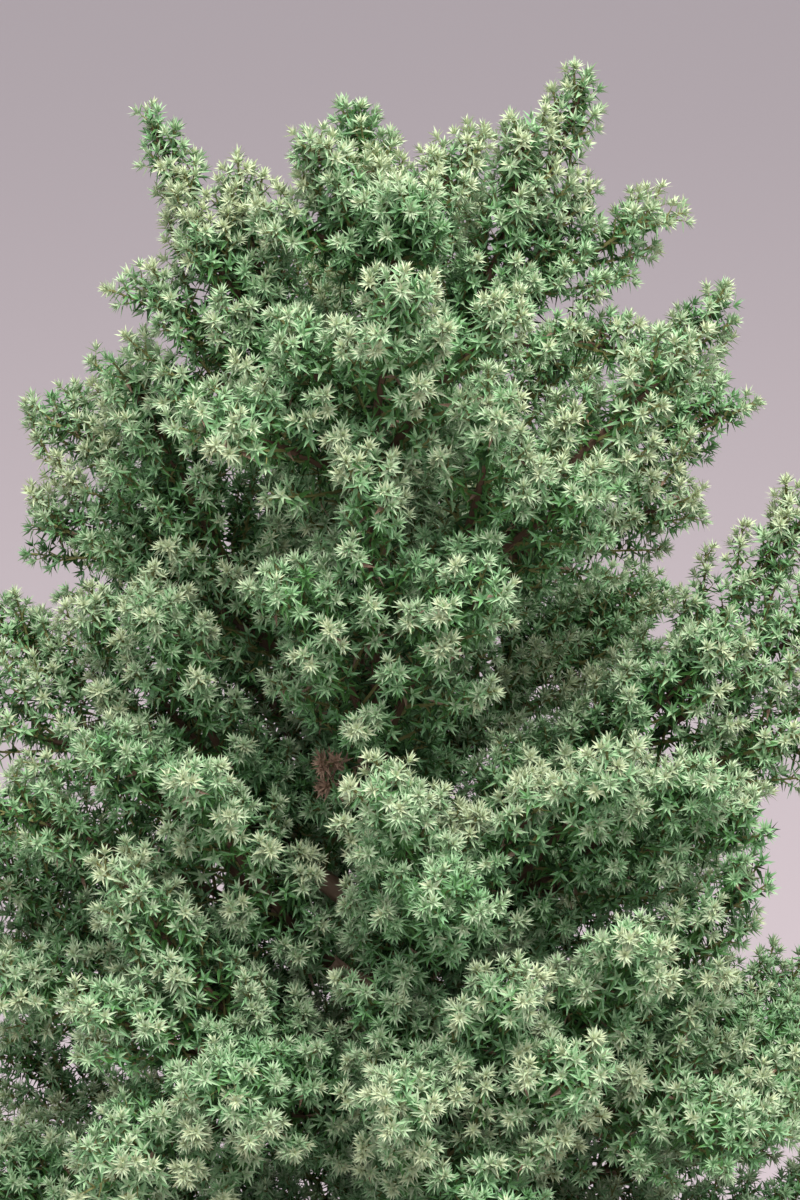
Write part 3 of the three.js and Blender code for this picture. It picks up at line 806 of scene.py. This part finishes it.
def limb_surface(line, radius, seed, relief, sides):
    """A limb's skin as points, quads, triangles and the bark's grain.

    Rings stand round its middle line, their radius varied by the furrows, and both ends are closed.
    """
    rings = len(line)
    heading = unit(np.gradient(line, axis=0))
    a, b = across(np.repeat(unit(line[-1] - line[0])[None], rings, 0))
    a = unit(a - heading * (a * heading).sum(1, keepdims=True))
    b = np.cross(heading, a)
    angle = turns(sides)
    along = np.concatenate([[0], np.cumsum(np.linalg.norm(np.diff(line, axis=0), axis=1))])
    radius = radius - BARK.sunk * relief
    skin = radius + relief * furrows(angle[None], along[:, None], seed)
    points = line[:, None] + skin[..., None] * around(a, b, sides)
    mean = radius.mean()
    grain = np.stack(np.broadcast_arrays(mean * np.cos(angle)[None], mean * np.sin(angle)[None],
                                         BARK.grain * along[:, None] + seed), -1)
    points = np.concatenate([points.reshape(-1, 3), line[:1], line[-1:]])
    grain = np.concatenate([grain.reshape(-1, 3), grain[0, :1], grain[-1, :1]])
    return points, grid_faces(rings, sides), end_fans(rings, sides), grain


def bark_piece(name, skins):
    """Joins limb skins into one mesh with the grain's own coordinates."""
    piece = make_mesh(name, *join(skins), smooth=True)
    grain = np.concatenate([skin[3] for skin in skins])
    attribute = piece.data.attributes.new("grain", "FLOAT_VECTOR", "POINT")
    attribute.data.foreach_set("vector", grain.astype(np.float32).ravel())
    return piece


def ripple(x, y, z, seed):
    """Smooth seeded noise about zero: a sum of sines in drawn directions, each finer and weaker."""
    total = np.zeros(np.broadcast(x, y, z).shape)
    for i in range(RIPPLE.waves):
        d = unit(np.array([drawn(0, 1, seed, 3 * i + axis) for axis in range(3)]))
        wave = np.sin(RIPPLE.finer ** i * (d[0] * x + d[1] * y + d[2] * z) + PHASE * draw(seed, 40 + i))
        total = total + wave / RIPPLE.weaker ** i
    return total / RIPPLE.scale


def wheel_marks(angle, z):
    """What the wheel leaves on the pot: ridges that swell and fade up the wall, which is slightly oval."""
    ridges = WHEEL.depth * np.sin(z * WHEEL.ridges) * np.sin(z * WHEEL.swells + WHEEL.swell_phase)
    return ridges + WHEEL.oval * np.sin(2 * angle + WHEEL.oval_phase)


def lathe(profile, sides, vary=None):
    """A turned surface: the profile's radius and height carried round the Z axis, on which its ends lie."""
    angle = turns(sides)
    r, z = profile[1:-1, 0][:, None], profile[1:-1, 1][:, None]
    if vary is not None:
        r = r + vary(angle[None], z)
    r, z = np.broadcast_arrays(r, z + 0 * angle[None])
    ring = np.stack([r * np.cos(angle), r * np.sin(angle), z], -1).reshape(-1, 3)
    rows = len(profile) - 2
    ends = np.array([[0, 0, profile[0, 1]], [0, 0, profile[-1, 1]]])
    return np.concatenate([ring, ends]), [grid_faces(rows, sides), end_fans(rows, sides)]


def rounded(corners, radius, steps, most=0.45):
    """A profile whose inner corners are arcs, cut back by the radius or at most that share of a side."""
    corners = np.asarray(corners, float)
    out = [corners[:1]]
    for before, corner, after in zip(corners[:-2], corners[1:-1], corners[2:]):
        back, on = before - corner, after - corner
        cut = min(radius, most * np.linalg.norm(back), most * np.linalg.norm(on))
        a, c = corner + cut * unit(back), corner + cut * unit(on)
        out.append(bezier(a, corner, c, np.linspace(0, 1, steps)))
    out.append(corners[-1:])
    return np.concatenate(out)


def refined(profile, pitch):
    """The same profile with its long straight stretches cut into steps of at most the pitch."""
    out = [profile[:1]]
    for a, b in zip(profile[:-1], profile[1:]):
        steps = max(1, int(np.ceil(np.linalg.norm(b - a) / pitch)))
        out.append(a + (b - a) * (np.arange(1, steps + 1) / steps)[:, None])
    return np.concatenate(out)


def chip_tubes(count, chip_length, edge, level):
    """Bark chips that lie in the mix's top: short tapered tubes, each turned and tilted its own way."""
    k = np.arange(count)
    spread = (edge - CHIP.from_edge) * np.sqrt(CHIP.bare_middle + (1 - CHIP.bare_middle) * draw(k, 1))
    turn = 2 * np.pi * draw(k, 2)
    depth = CHIP.sunk + CHIP.sunk * draw(k, 3)
    middle = np.stack([spread * np.cos(turn), spread * np.sin(turn), level - depth], -1)
    lie = 2 * np.pi * draw(k, 4)
    along = unit(np.stack([np.cos(lie), np.sin(lie), drawn(0, CHIP.tilt, k, 5)], -1))
    length = chip_length * (CHIP.least + CHIP.gain * draw(k, 6) ** 2)
    path = middle[:, None] + along[:, None] * (length[:, None] * CHIP.rings[None])[..., None]
    radius = (CHIP.radius + CHIP.radius_gain * draw(k, 7))[:, None] * CHIP.profile[None]
    return tubes(path, radius, CHIP.sides)


# Needles

def clothe(axes, first, settings, inner):
    """Needles round leafy axes, each turned on from the last by the golden angle, and closer near the tip.

    A needle leans away from its axis by an angle that opens with its distance from the tip, until the old
    ones droop. It is an awl of two faces, a folded kite: foot, two shoulders and tip. The deeper an axis lies
    in the crown, by inner from 0 to 1, the fewer, longer and broader its needles are.
    """
    run = axes.length * (1 - first)
    step = settings.needle_step * (1 + NEEDLE.inner_step * inner) * (1 + run / NEEDLE.long_axis)
    tuft = np.round(settings.tuft_needles * (1 - NEEDLE.inner_tuft * inner)).astype(int)
    stem_count = np.maximum((run / step).astype(int), 1)
    owner, order = runs(stem_count + tuft)
    tuft = tuft[owner]
    in_tuft = (order + 0.5) / tuft
    on_stem = order >= tuft
    down = np.clip((order - tuft + 1) / stem_count[owner], 0, 1)
    back = np.where(on_stem, run[owner] * down ** NEEDLE.thinning, NEEDLE.tuft_depth * in_tuft)
    t = np.clip(1 - back / axes.length[owner], 0, 1)
    seed = axes.seed[owner] * NEEDLE.seeds + order
    place = axes.place(owner, t)
    along = axes.heading(owner, t)
    a, b = across(along)
    turn = GOLDEN_ANGLE * order + axes.seed[owner]
    out = a * np.cos(turn)[:, None] + b * np.sin(turn)[:, None]

    opened = 1 - np.exp(-back / NEEDLE.opening)
    lean = np.where(on_stem, NEEDLE.lean + NEEDLE.lean_gain * opened,
                    NEEDLE.tuft_lean + NEEDLE.tuft_gain * np.sqrt(in_tuft))
    lean = np.radians(drawn(lean, NEEDLE.lean_draw, seed, 1))
    droop = NEEDLE.droop * opened[:, None] * UP
    heading = unit(along * np.cos(lean)[:, None] + out * np.sin(lean)[:, None] - droop)

    grown = 1 - np.exp(-(back + NEEDLE.growth_start) / NEEDLE.growth)
    length = settings.needle_length * (NEEDLE.bud_length + (1 - NEEDLE.bud_length) * grown)
    length = length * drawn(1, NEEDLE.length_draw, seed, 2) * (1 + NEEDLE.inner_length * inner[owner])
    width = settings.needle_width * (NEEDLE.bud_width + (1 - NEEDLE.bud_width) * grown)
    width = width * drawn(1, NEEDLE.width_draw, seed, 3) * (1 + NEEDLE.inner_width * inner[owner])

    side = unit(np.cross(along, out) + drawn(0, NEEDLE.twist_draw, seed, 4)[:, None] * along)
    normal = np.cross(heading, side)
    shoulder = place + heading * (NEEDLE.shoulder * length)[:, None] + normal * (NEEDLE.keel * width)[:, None]
    half = side * (width / 2)[:, None]
    bow = np.where(on_stem, NEEDLE.bow, NEEDLE.tuft_bow) * length
    tip = place + heading * length[:, None] + normal * bow[:, None]
    points = np.stack([place, shoulder + half, shoulder - half, tip], 1).reshape(-1, 3)
    foot = 4 * np.arange(len(owner))
    faces = np.stack([foot, foot + 3, foot + 1, foot, foot + 2, foot + 3], -1).reshape(-1, 3)
    return points, faces, owner, back, seed


def tone_of(axes, owner, back, seed):
    """The tone of each needle: the way back from the tip sets its age, and spray, patch and the painted shade
    of depth add.
    """
    # Depth in the mass's space: the darkening it adds is partly the older inner needles' own colour and
    # partly painted shade
    depth = 1 - np.clip((axes.share[owner] - AGE_AND_SHADE.deep_share) / AGE_AND_SHADE.depth_span, 0, 1)
    x, y, z = AGE_AND_SHADE.patch_scale * axes.tip[owner].T
    patch = ripple(x, y, z, AGE_AND_SHADE.patch_seed)
    age_and_shade = (back / AGE_AND_SHADE.step + drawn(0, AGE_AND_SHADE.spray, axes.seed[owner], 7) + AGE_AND_SHADE.patch * patch
           + AGE_AND_SHADE.depth * depth ** AGE_AND_SHADE.depth_power + drawn(0, AGE_AND_SHADE.needle, seed, 5))
    tone = np.clip(np.floor(AGE_AND_SHADE.first + age_and_shade), 0, DEEP).astype(int)
    # Grown needles deep in the crown take the shade tone: painted shade
    tone = np.where((depth > AGE_AND_SHADE.shade_from) & (tone >= LEAF), SHADE, tone)
    old = (back > AGE_AND_SHADE.old_from) & (draw(seed, 9) > AGE_AND_SHADE.alive)
    dead = np.linalg.norm(axes.tip[owner] - WITHERED_CLUMP, axis=1) < WITHERED_REACH
    return np.where(old | dead, WITHERED, tone)


# Sizes and colours

def size(text, default, low=0.0):
    """A length that can be set, with its text as name and description."""
    return FloatProperty(name=text, description=text, default=default, min=low,
                         subtype="DISTANCE", unit="LENGTH")


def colour(text, default):
    """A colour that can be set, with its text as name and description."""
    return FloatVectorProperty(name=text, description=text, default=default, min=0, max=1,
                               size=3, subtype="COLOR")


class PotSettings(PropertyGroup):
    wall: size("Thickness of the pot's wall", 0.008)
    rim_wall: size("Thickness of the rim", 0.010)
    floor: size("Thickness of the pot's floor", 0.010)
    foot_radius: size("Radius of the pot's foot", 0.083)
    collar_height: size("Height of the collar", 0.038)
    collar_step: size("How far the collar stands out", 0.006)
    edge: size("Rounding of the edges", 0.0022)
    drain_radius: size("Radius of a drain hole", 0.006)
    drain_ring: size("Distance of the drain holes from the middle", 0.050)
    clay_colour: colour("Fired clay", (0.42, 0.155, 0.082))
    clay_dark: colour("Darker clay", (0.33, 0.112, 0.06))
    bloom_colour: colour("Lime bloom on the clay", (0.56, 0.36, 0.27))


class MixSettings(PropertyGroup):
    lump: size("Height of the lumps in the mix", 0.0022)
    chip_length: size("Length of a bark chip", 0.009)
    chips: IntProperty(name="Bark chips", description="Number of bark chips on the mix", default=520, min=0)
    mix_colour: colour("Potting mix", (0.034, 0.021, 0.014))
    crumb_colour: colour("Paler crumbs", (0.10, 0.062, 0.038))
    chip_colour: colour("Bark chips", (0.16, 0.085, 0.05))


class BarkSettings(PropertyGroup):
    relief: size("Depth of the bark's furrows on the trunk", 0.0011)
    bough_relief: size("Depth of the bark's furrows on a bough", 0.0004)
    bark_colour: colour("Bark", (0.105, 0.054, 0.034))
    weathered_colour: colour("Weathered bark", (0.15, 0.10, 0.072))
    # Painted shade for the depths of the furrows
    furrow_shade_colour: colour("Depths of the furrows", (0.045, 0.021, 0.013))
    twig_colour: colour("Woody twigs", (0.10, 0.055, 0.034))
    shoot_colour: colour("Stems of the shoots", (0.20, 0.19, 0.065))


class NeedleSettings(PropertyGroup):
    plume_area: FloatProperty(name="Area of a plume", description="Area of a mass's side for each plume",
                              default=0.00016, min=0.00004, unit="AREA")
    shoot_pitch: size("Distance along a plume from one shoot to the next", 0.0030, 0.001)
    needle_length: size("Length of a grown needle", 0.0056)
    needle_width: size("Width of a grown needle", 0.00151)
    needle_step: size("Distance along a shoot from one needle to the next", 0.00048)
    tuft_needles: IntProperty(name="Tuft needles", description="Needles in the tuft at a tip",
                              default=12, min=1)
    bud: colour("Buds", (0.53, 0.58, 0.36))
    pale: colour("Youngest needles", (0.44, 0.53, 0.34))
    fresh: colour("Young needles", (0.317, 0.472, 0.253))
    glaucous: colour("Blue-green needles", (0.197, 0.37, 0.176))
    leaf: colour("Grown needles", (0.102, 0.252, 0.070))
    deep: colour("Old needles", (0.058, 0.158, 0.032))
    # Painted shade: the colour of grown needles deep in the crown
    shade: colour("Needles in the depth of the crown", (0.024, 0.070, 0.016))
    withered: colour("Withered needles", (0.27, 0.175, 0.12))


class StageSettings(PropertyGroup):
    lens: FloatProperty(name="Lens", description="Focal length in millimetres", default=85.0,
                        subtype="DISTANCE_CAMERA")
    elevation: FloatProperty(name="Elevation", description="Height of the view above level",
                             default=np.radians(20.0), subtype="ANGLE")
    distance: size("Distance of the camera from its target", 0.944)
    target: size("Height of the camera's target", 0.545)
    floor_radius: size("Radius of the floor", 14.0)
    floor_colour: colour("Floor", (0.408, 0.340, 0.353))
    sky_colour: colour("Light from all sides", (0.93, 0.96, 1.0))
    sky: FloatProperty(name="Sky", description="Strength of the light from all sides", default=1.0)
    softbox: FloatProperty(name="Softbox", description="Power of the large light overhead", default=67.0,
                           subtype="POWER")


# Operators

class SEQUOIA_OT_pot(Operator):
    """Turns the clay pot with its collar and drain holes"""

    bl_idname = "sequoia.pot"
    bl_label = "Pot"

    def execute(self, context):
        s = context.scene.sequoia_pot
        height, rim = POT_HIGH.z, POT_HIGH.x
        collar_foot = height - s.collar_height
        outline = [
            (0, 0),
            (s.foot_radius, 0),
            (rim - s.collar_step - POT.collar_lean, collar_foot),
            (rim - POT.collar_lean, collar_foot),
            (rim, height),
            (rim - s.rim_wall, height),
            (s.foot_radius - s.wall + POT.foot_step, s.floor),
            (0, s.floor),
        ]
        profile = refined(rounded(outline, s.edge, POT.edge_steps), POT.pitch)
        points, faces = lathe(profile, POT.sides, wheel_marks)
        points[:, :2] = np.clip(points[:, :2], -rim, rim)
        pot = make_mesh("clay_pot", points, faces, smooth=True)
        for i in range(POT.drains):
            angle = 2 * np.pi * i / POT.drains + np.pi / 2
            drill_profile = np.array([[0, -s.floor], [s.drain_radius, -s.floor],
                                      [s.drain_radius, 2 * s.floor], [0, 2 * s.floor]])
            drill_points, drill_faces = lathe(drill_profile, POT.drain_sides)
            drill_points = drill_points + [s.drain_ring * np.cos(angle), s.drain_ring * np.sin(angle), 0]
            drill = make_mesh("drill", drill_points, drill_faces)
            cut = pot.modifiers.new("drain", "BOOLEAN")
            cut.object = drill
            cut.operation = "DIFFERENCE"
            cut.solver = "EXACT"
            bpy.context.view_layer.objects.active = pot
            if bpy.ops.object.modifier_apply(modifier=cut.name) != {"FINISHED"}:
                raise RuntimeError("the pot's drain holes could not be cut")
            bpy.data.objects.remove(drill)
        dress(pot, [clay_material(s)], "clay", "pot")
        return {"FINISHED"}


class SEQUOIA_OT_mix(Operator):
    """Fills the pot with lumpy potting mix and lays bark chips on it"""

    bl_idname = "sequoia.mix"
    bl_label = "Potting mix"

    def execute(self, context):
        s, pot = context.scene.sequoia_mix, context.scene.sequoia_pot
        edge, level, foot = MIX_HIGH.x, MIX_HIGH.z, MIX_LOW.z
        rings = np.linspace(edge, 0, MIX.rings)[1:-1]
        radius = np.concatenate([[pot.foot_radius - pot.wall, edge], rings])
        heights = np.concatenate([[foot, level - MIX.crown], level - MIX.crown * (rings / edge) ** 2])
        profile = np.concatenate([[[0, foot]], np.stack([radius, heights], -1), [[0, level]]])
        points, faces = lathe(profile, MIX.sides)
        x, y, z = points.T
        top = (z > level - MIX.depth) & (np.hypot(x, y) < edge - MIX.edge)
        lump = sum(MIX.weight * ripple(x * scale, y * scale, 0 * z, seed) for scale, seed in MIX.lumps)
        points[:, 2] += np.where(top, s.lump * (lump - MIX.sunk), 0)
        mix = make_mesh("mix_surface", points, faces, smooth=True)
        dress(mix, [mix_material(s)], "potting_mix", "potting_mix")

        points, walls, caps = chip_tubes(s.chips, s.chip_length, edge, level)
        chips = make_mesh("bark_chips", points, [walls, caps])
        dress(chips, [chip_material(s)], "potting_mix")
        return {"FINISHED"}


class SEQUOIA_OT_trunk(Operator):
    """Covers the trunk with furrowed bark"""

    bl_idname = "sequoia.trunk"
    bl_label = "Trunk"

    def execute(self, context):
        s = context.scene.sequoia_bark
        z = GROUND + (TIP - GROUND) * np.linspace(0, 1, BARK.trunk_rings) ** BARK.trunk_crowding
        fade = np.exp(-(z - GROUND) / (TRUNK.lobe_fade * TRUNK.flare_height))[:, None]
        lobes = TRUNK.lobe_depth * fade * np.cos(TRUNK.lobes * turns(BARK.trunk_sides))[None]
        radius = trunk_radius(z)[:, None] * (1 + lobes)
        depth = s.relief * smoothstep(trunk_radius(z), BARK.relief_from, BARK.relief_full)[:, None]
        skin = limb_surface(trunk_axis(z), radius, BARK.trunk_seed, depth, BARK.trunk_sides)
        trunk = bark_piece("trunk_bark", [skin])
        dress(trunk, [bark_material(s)], "bark", "trunk")
        return {"FINISHED"}


class SEQUOIA_OT_boughs(Operator):
    """Covers the boughs with bark, from inside the trunk to where each enters its mass"""

    bl_idname = "sequoia.boughs"
    bl_label = "Boughs"

    def execute(self, context):
        s = context.scene.sequoia_bark
        skins, nodes = [], []
        t = np.linspace(0, 1, BARK.bough_rings)
        radius = (BOUGH.foot_radius + (BOUGH.end_radius - BOUGH.foot_radius) * t)[:, None]
        for i, limb in boughs():
            line = bezier(limb["start"], limb["bend"], limb["fork"], t)
            skins.append(limb_surface(line, radius, BARK.bough_seed + i, s.bough_relief, BARK.bough_sides))
            nodes.append("bough_" + limb["name"])
        piece = bark_piece("bough_bark", skins)
        dress(piece, [bpy.data.materials["bark"]], "bark", *nodes)
        return {"FINISHED"}


class SEQUOIA_OT_twigs(Operator):
    """Grows the woody stems inside the foliage: leaders, plumes, sprigs and shoots"""

    bl_idname = "sequoia.twigs"
    bl_label = "Twigs"

    def execute(self, context):
        s, n = context.scene.sequoia_bark, context.scene.sequoia_needles
        parts, woods = [], []
        for axes, kind in zip(grow(n.plume_area, n.shoot_pitch), STEM_KINDS):
            foot_radius, tip_radius, sides, rings, wood = kind
            if tip_radius:
                t = np.linspace(0, 1, rings)
                paths = bezier(axes.foot[:, None], axes.elbow[:, None], axes.tip[:, None], t[None])
                radii = np.repeat((foot_radius + (tip_radius - foot_radius) * t)[None], len(paths), 0)
                parts.append(tubes(paths, radii, sides))
            else:
                parts.append(spikes(axes.foot, axes.tip, foot_radius))
            woods.append(wood)
        fork = np.array([limb["fork"] for limb in limbs()])
        end = np.array([limb["stem_end"] for limb in limbs()])
        paths = np.stack([fork - STEM.sunk * unit(end - fork), end], 1)
        parts.append(tubes(paths, np.full((len(paths), 2), STEM.radius), STEM.sides))
        woods.append(0)
        tones = [np.full(len(part[kind]), wood) for kind in (1, 2) for part, wood in zip(parts, woods)]
        twigs = make_mesh("twigs", *join(parts), np.concatenate(tones))
        materials = [plain_material("twig_wood", s.twig_colour, 0.8),
                     plain_material("shoot_stem", s.shoot_colour, 0.7)]
        dress(twigs, materials, "bark", *("foliage_" + name for name, *_ in LIMBS))
        return {"FINISHED"}


class SEQUOIA_OT_needles(Operator):
    """Clothes leaders, plumes, sprigs and shoots with needles, one piece for each mass of foliage"""

    bl_idname = "sequoia.needles"
    bl_label = "Needles"

    def execute(self, context):
        s = context.scene.sequoia_needles
        kinds = grow(s.plume_area, s.shoot_pitch)
        axes = Axes.joined(kinds)
        first = np.concatenate([np.full(len(kind.mass), bare) for kind, bare in zip(kinds, BARE_FOOT)])
        materials = [plain_material("needle_" + tone, getattr(s, tone), 0.55) for tone in TONES]
        for mass, (name, *_) in enumerate(LIMBS):
            mine = axes.mass == mass
            own = axes.pick(mine)
            inner = 1 - smoothstep(own.share, NEEDLE.inner_from, NEEDLE.inner_to)
            points, faces, owner, back, seed = clothe(own, first[mine], s, inner)
            tones = tone_of(own, owner, back, seed)
            # Most needles' second face is one tone darker: painted shade on one side of the fold
            other = np.where((tones < DEEP) & (draw(seed, 11) > NEEDLE.one_tone), tones + 1, tones)
            piece = make_mesh("needles_" + name, points, [faces], np.stack([tones, other], -1).ravel())
            dress(piece, materials, "needles", "foliage_" + name)
        return {"FINISHED"}


class SEQUOIA_OT_stage(Operator):
    """Sets the camera, the soft studio light and the plain pale floor"""

    bl_idname = "sequoia.stage"
    bl_label = "Stage"

    def execute(self, context):
        s = context.scene.sequoia_stage
        sides = STAGE.floor_sides
        angle, k = turns(sides), np.arange(sides)
        rim = np.stack([s.floor_radius * np.cos(angle), s.floor_radius * np.sin(angle), 0 * angle], -1)
        points = np.concatenate([rim, [[0, 0, 0]]])
        floor = make_mesh("floor", points, [np.stack([k, (k + 1) % sides, np.full(sides, sides)], -1)])
        floor.data.materials.append(plain_material("floor", s.floor_colour, 0.9))

        camera = bpy.data.objects.new("camera", bpy.data.cameras.new("camera"))
        context.scene.collection.objects.link(camera)
        camera.data.lens = s.lens
        camera.data.clip_start, camera.data.clip_end = STAGE.clip_start, STAGE.clip_end
        back = Vector((0, -np.cos(s.elevation), np.sin(s.elevation)))
        camera.location = Vector((0, 0, s.target)) + s.distance * back
        camera.rotation_euler = (-back).to_track_quat("-Z", "Y").to_euler()
        context.scene.camera = camera

        world = bpy.data.worlds.new("sky")
        world.use_nodes = True
        background = world.node_tree.nodes["Background"]
        background.inputs["Color"].default_value = (*s.sky_colour, 1)
        background.inputs["Strength"].default_value = s.sky
        context.scene.world = world

        light = bpy.data.objects.new("softbox", bpy.data.lights.new("softbox", "AREA"))
        light.data.shape = "DISK"
        light.data.size = STAGE.light_size
        light.data.energy = s.softbox
        light.location = STAGE.light
        aim = light.location - Vector((0, 0, STAGE.light_aim))
        light.rotation_euler = aim.to_track_quat("Z", "Y").to_euler()
        context.scene.collection.objects.link(light)
        context.scene.view_settings.view_transform = "Standard"
        return {"FINISHED"}


OPERATORS = (SEQUOIA_OT_stage, SEQUOIA_OT_pot, SEQUOIA_OT_mix, SEQUOIA_OT_trunk, SEQUOIA_OT_boughs,
             SEQUOIA_OT_twigs, SEQUOIA_OT_needles)
SETTINGS = {"sequoia_pot": PotSettings, "sequoia_mix": MixSettings, "sequoia_bark": BarkSettings,
            "sequoia_needles": NeedleSettings, "sequoia_stage": StageSettings}


class SEQUOIA_PT_panel(Panel):
    """Lists the plant's pieces with their sizes and colours"""

    bl_label = "Dwarf sequoia"
    bl_idname = "SEQUOIA_PT_panel"
    bl_space_type = "VIEW_3D"
    bl_region_type = "UI"
    bl_category = "Sequoia"

    def draw(self, context):
        for operator in OPERATORS:
            self.layout.operator(operator.bl_idname)
        for name, group in SETTINGS.items():
            box = self.layout.box()
            box.label(text=group.__name__.replace("Settings", ""))
            for prop in group.__annotations__:
                box.prop(getattr(context.scene, name), prop)


CLASSES = (*SETTINGS.values(), *OPERATORS, SEQUOIA_PT_panel)


def register():
    for cls in CLASSES:
        bpy.utils.register_class(cls)
    for name, group in SETTINGS.items():
        setattr(bpy.types.Scene, name, PointerProperty(type=group))


def unregister():
    for name in SETTINGS:
        delattr(bpy.types.Scene, name)
    for cls in reversed(CLASSES):
        bpy.utils.unregister_class(cls)


def main():
    """Grows the whole plant on its stage."""
    register()
    for operator in OPERATORS:
        group, name = operator.bl_idname.split(".")
        getattr(getattr(bpy.ops, group), name)()


if __name__ == "__main__":
    main()
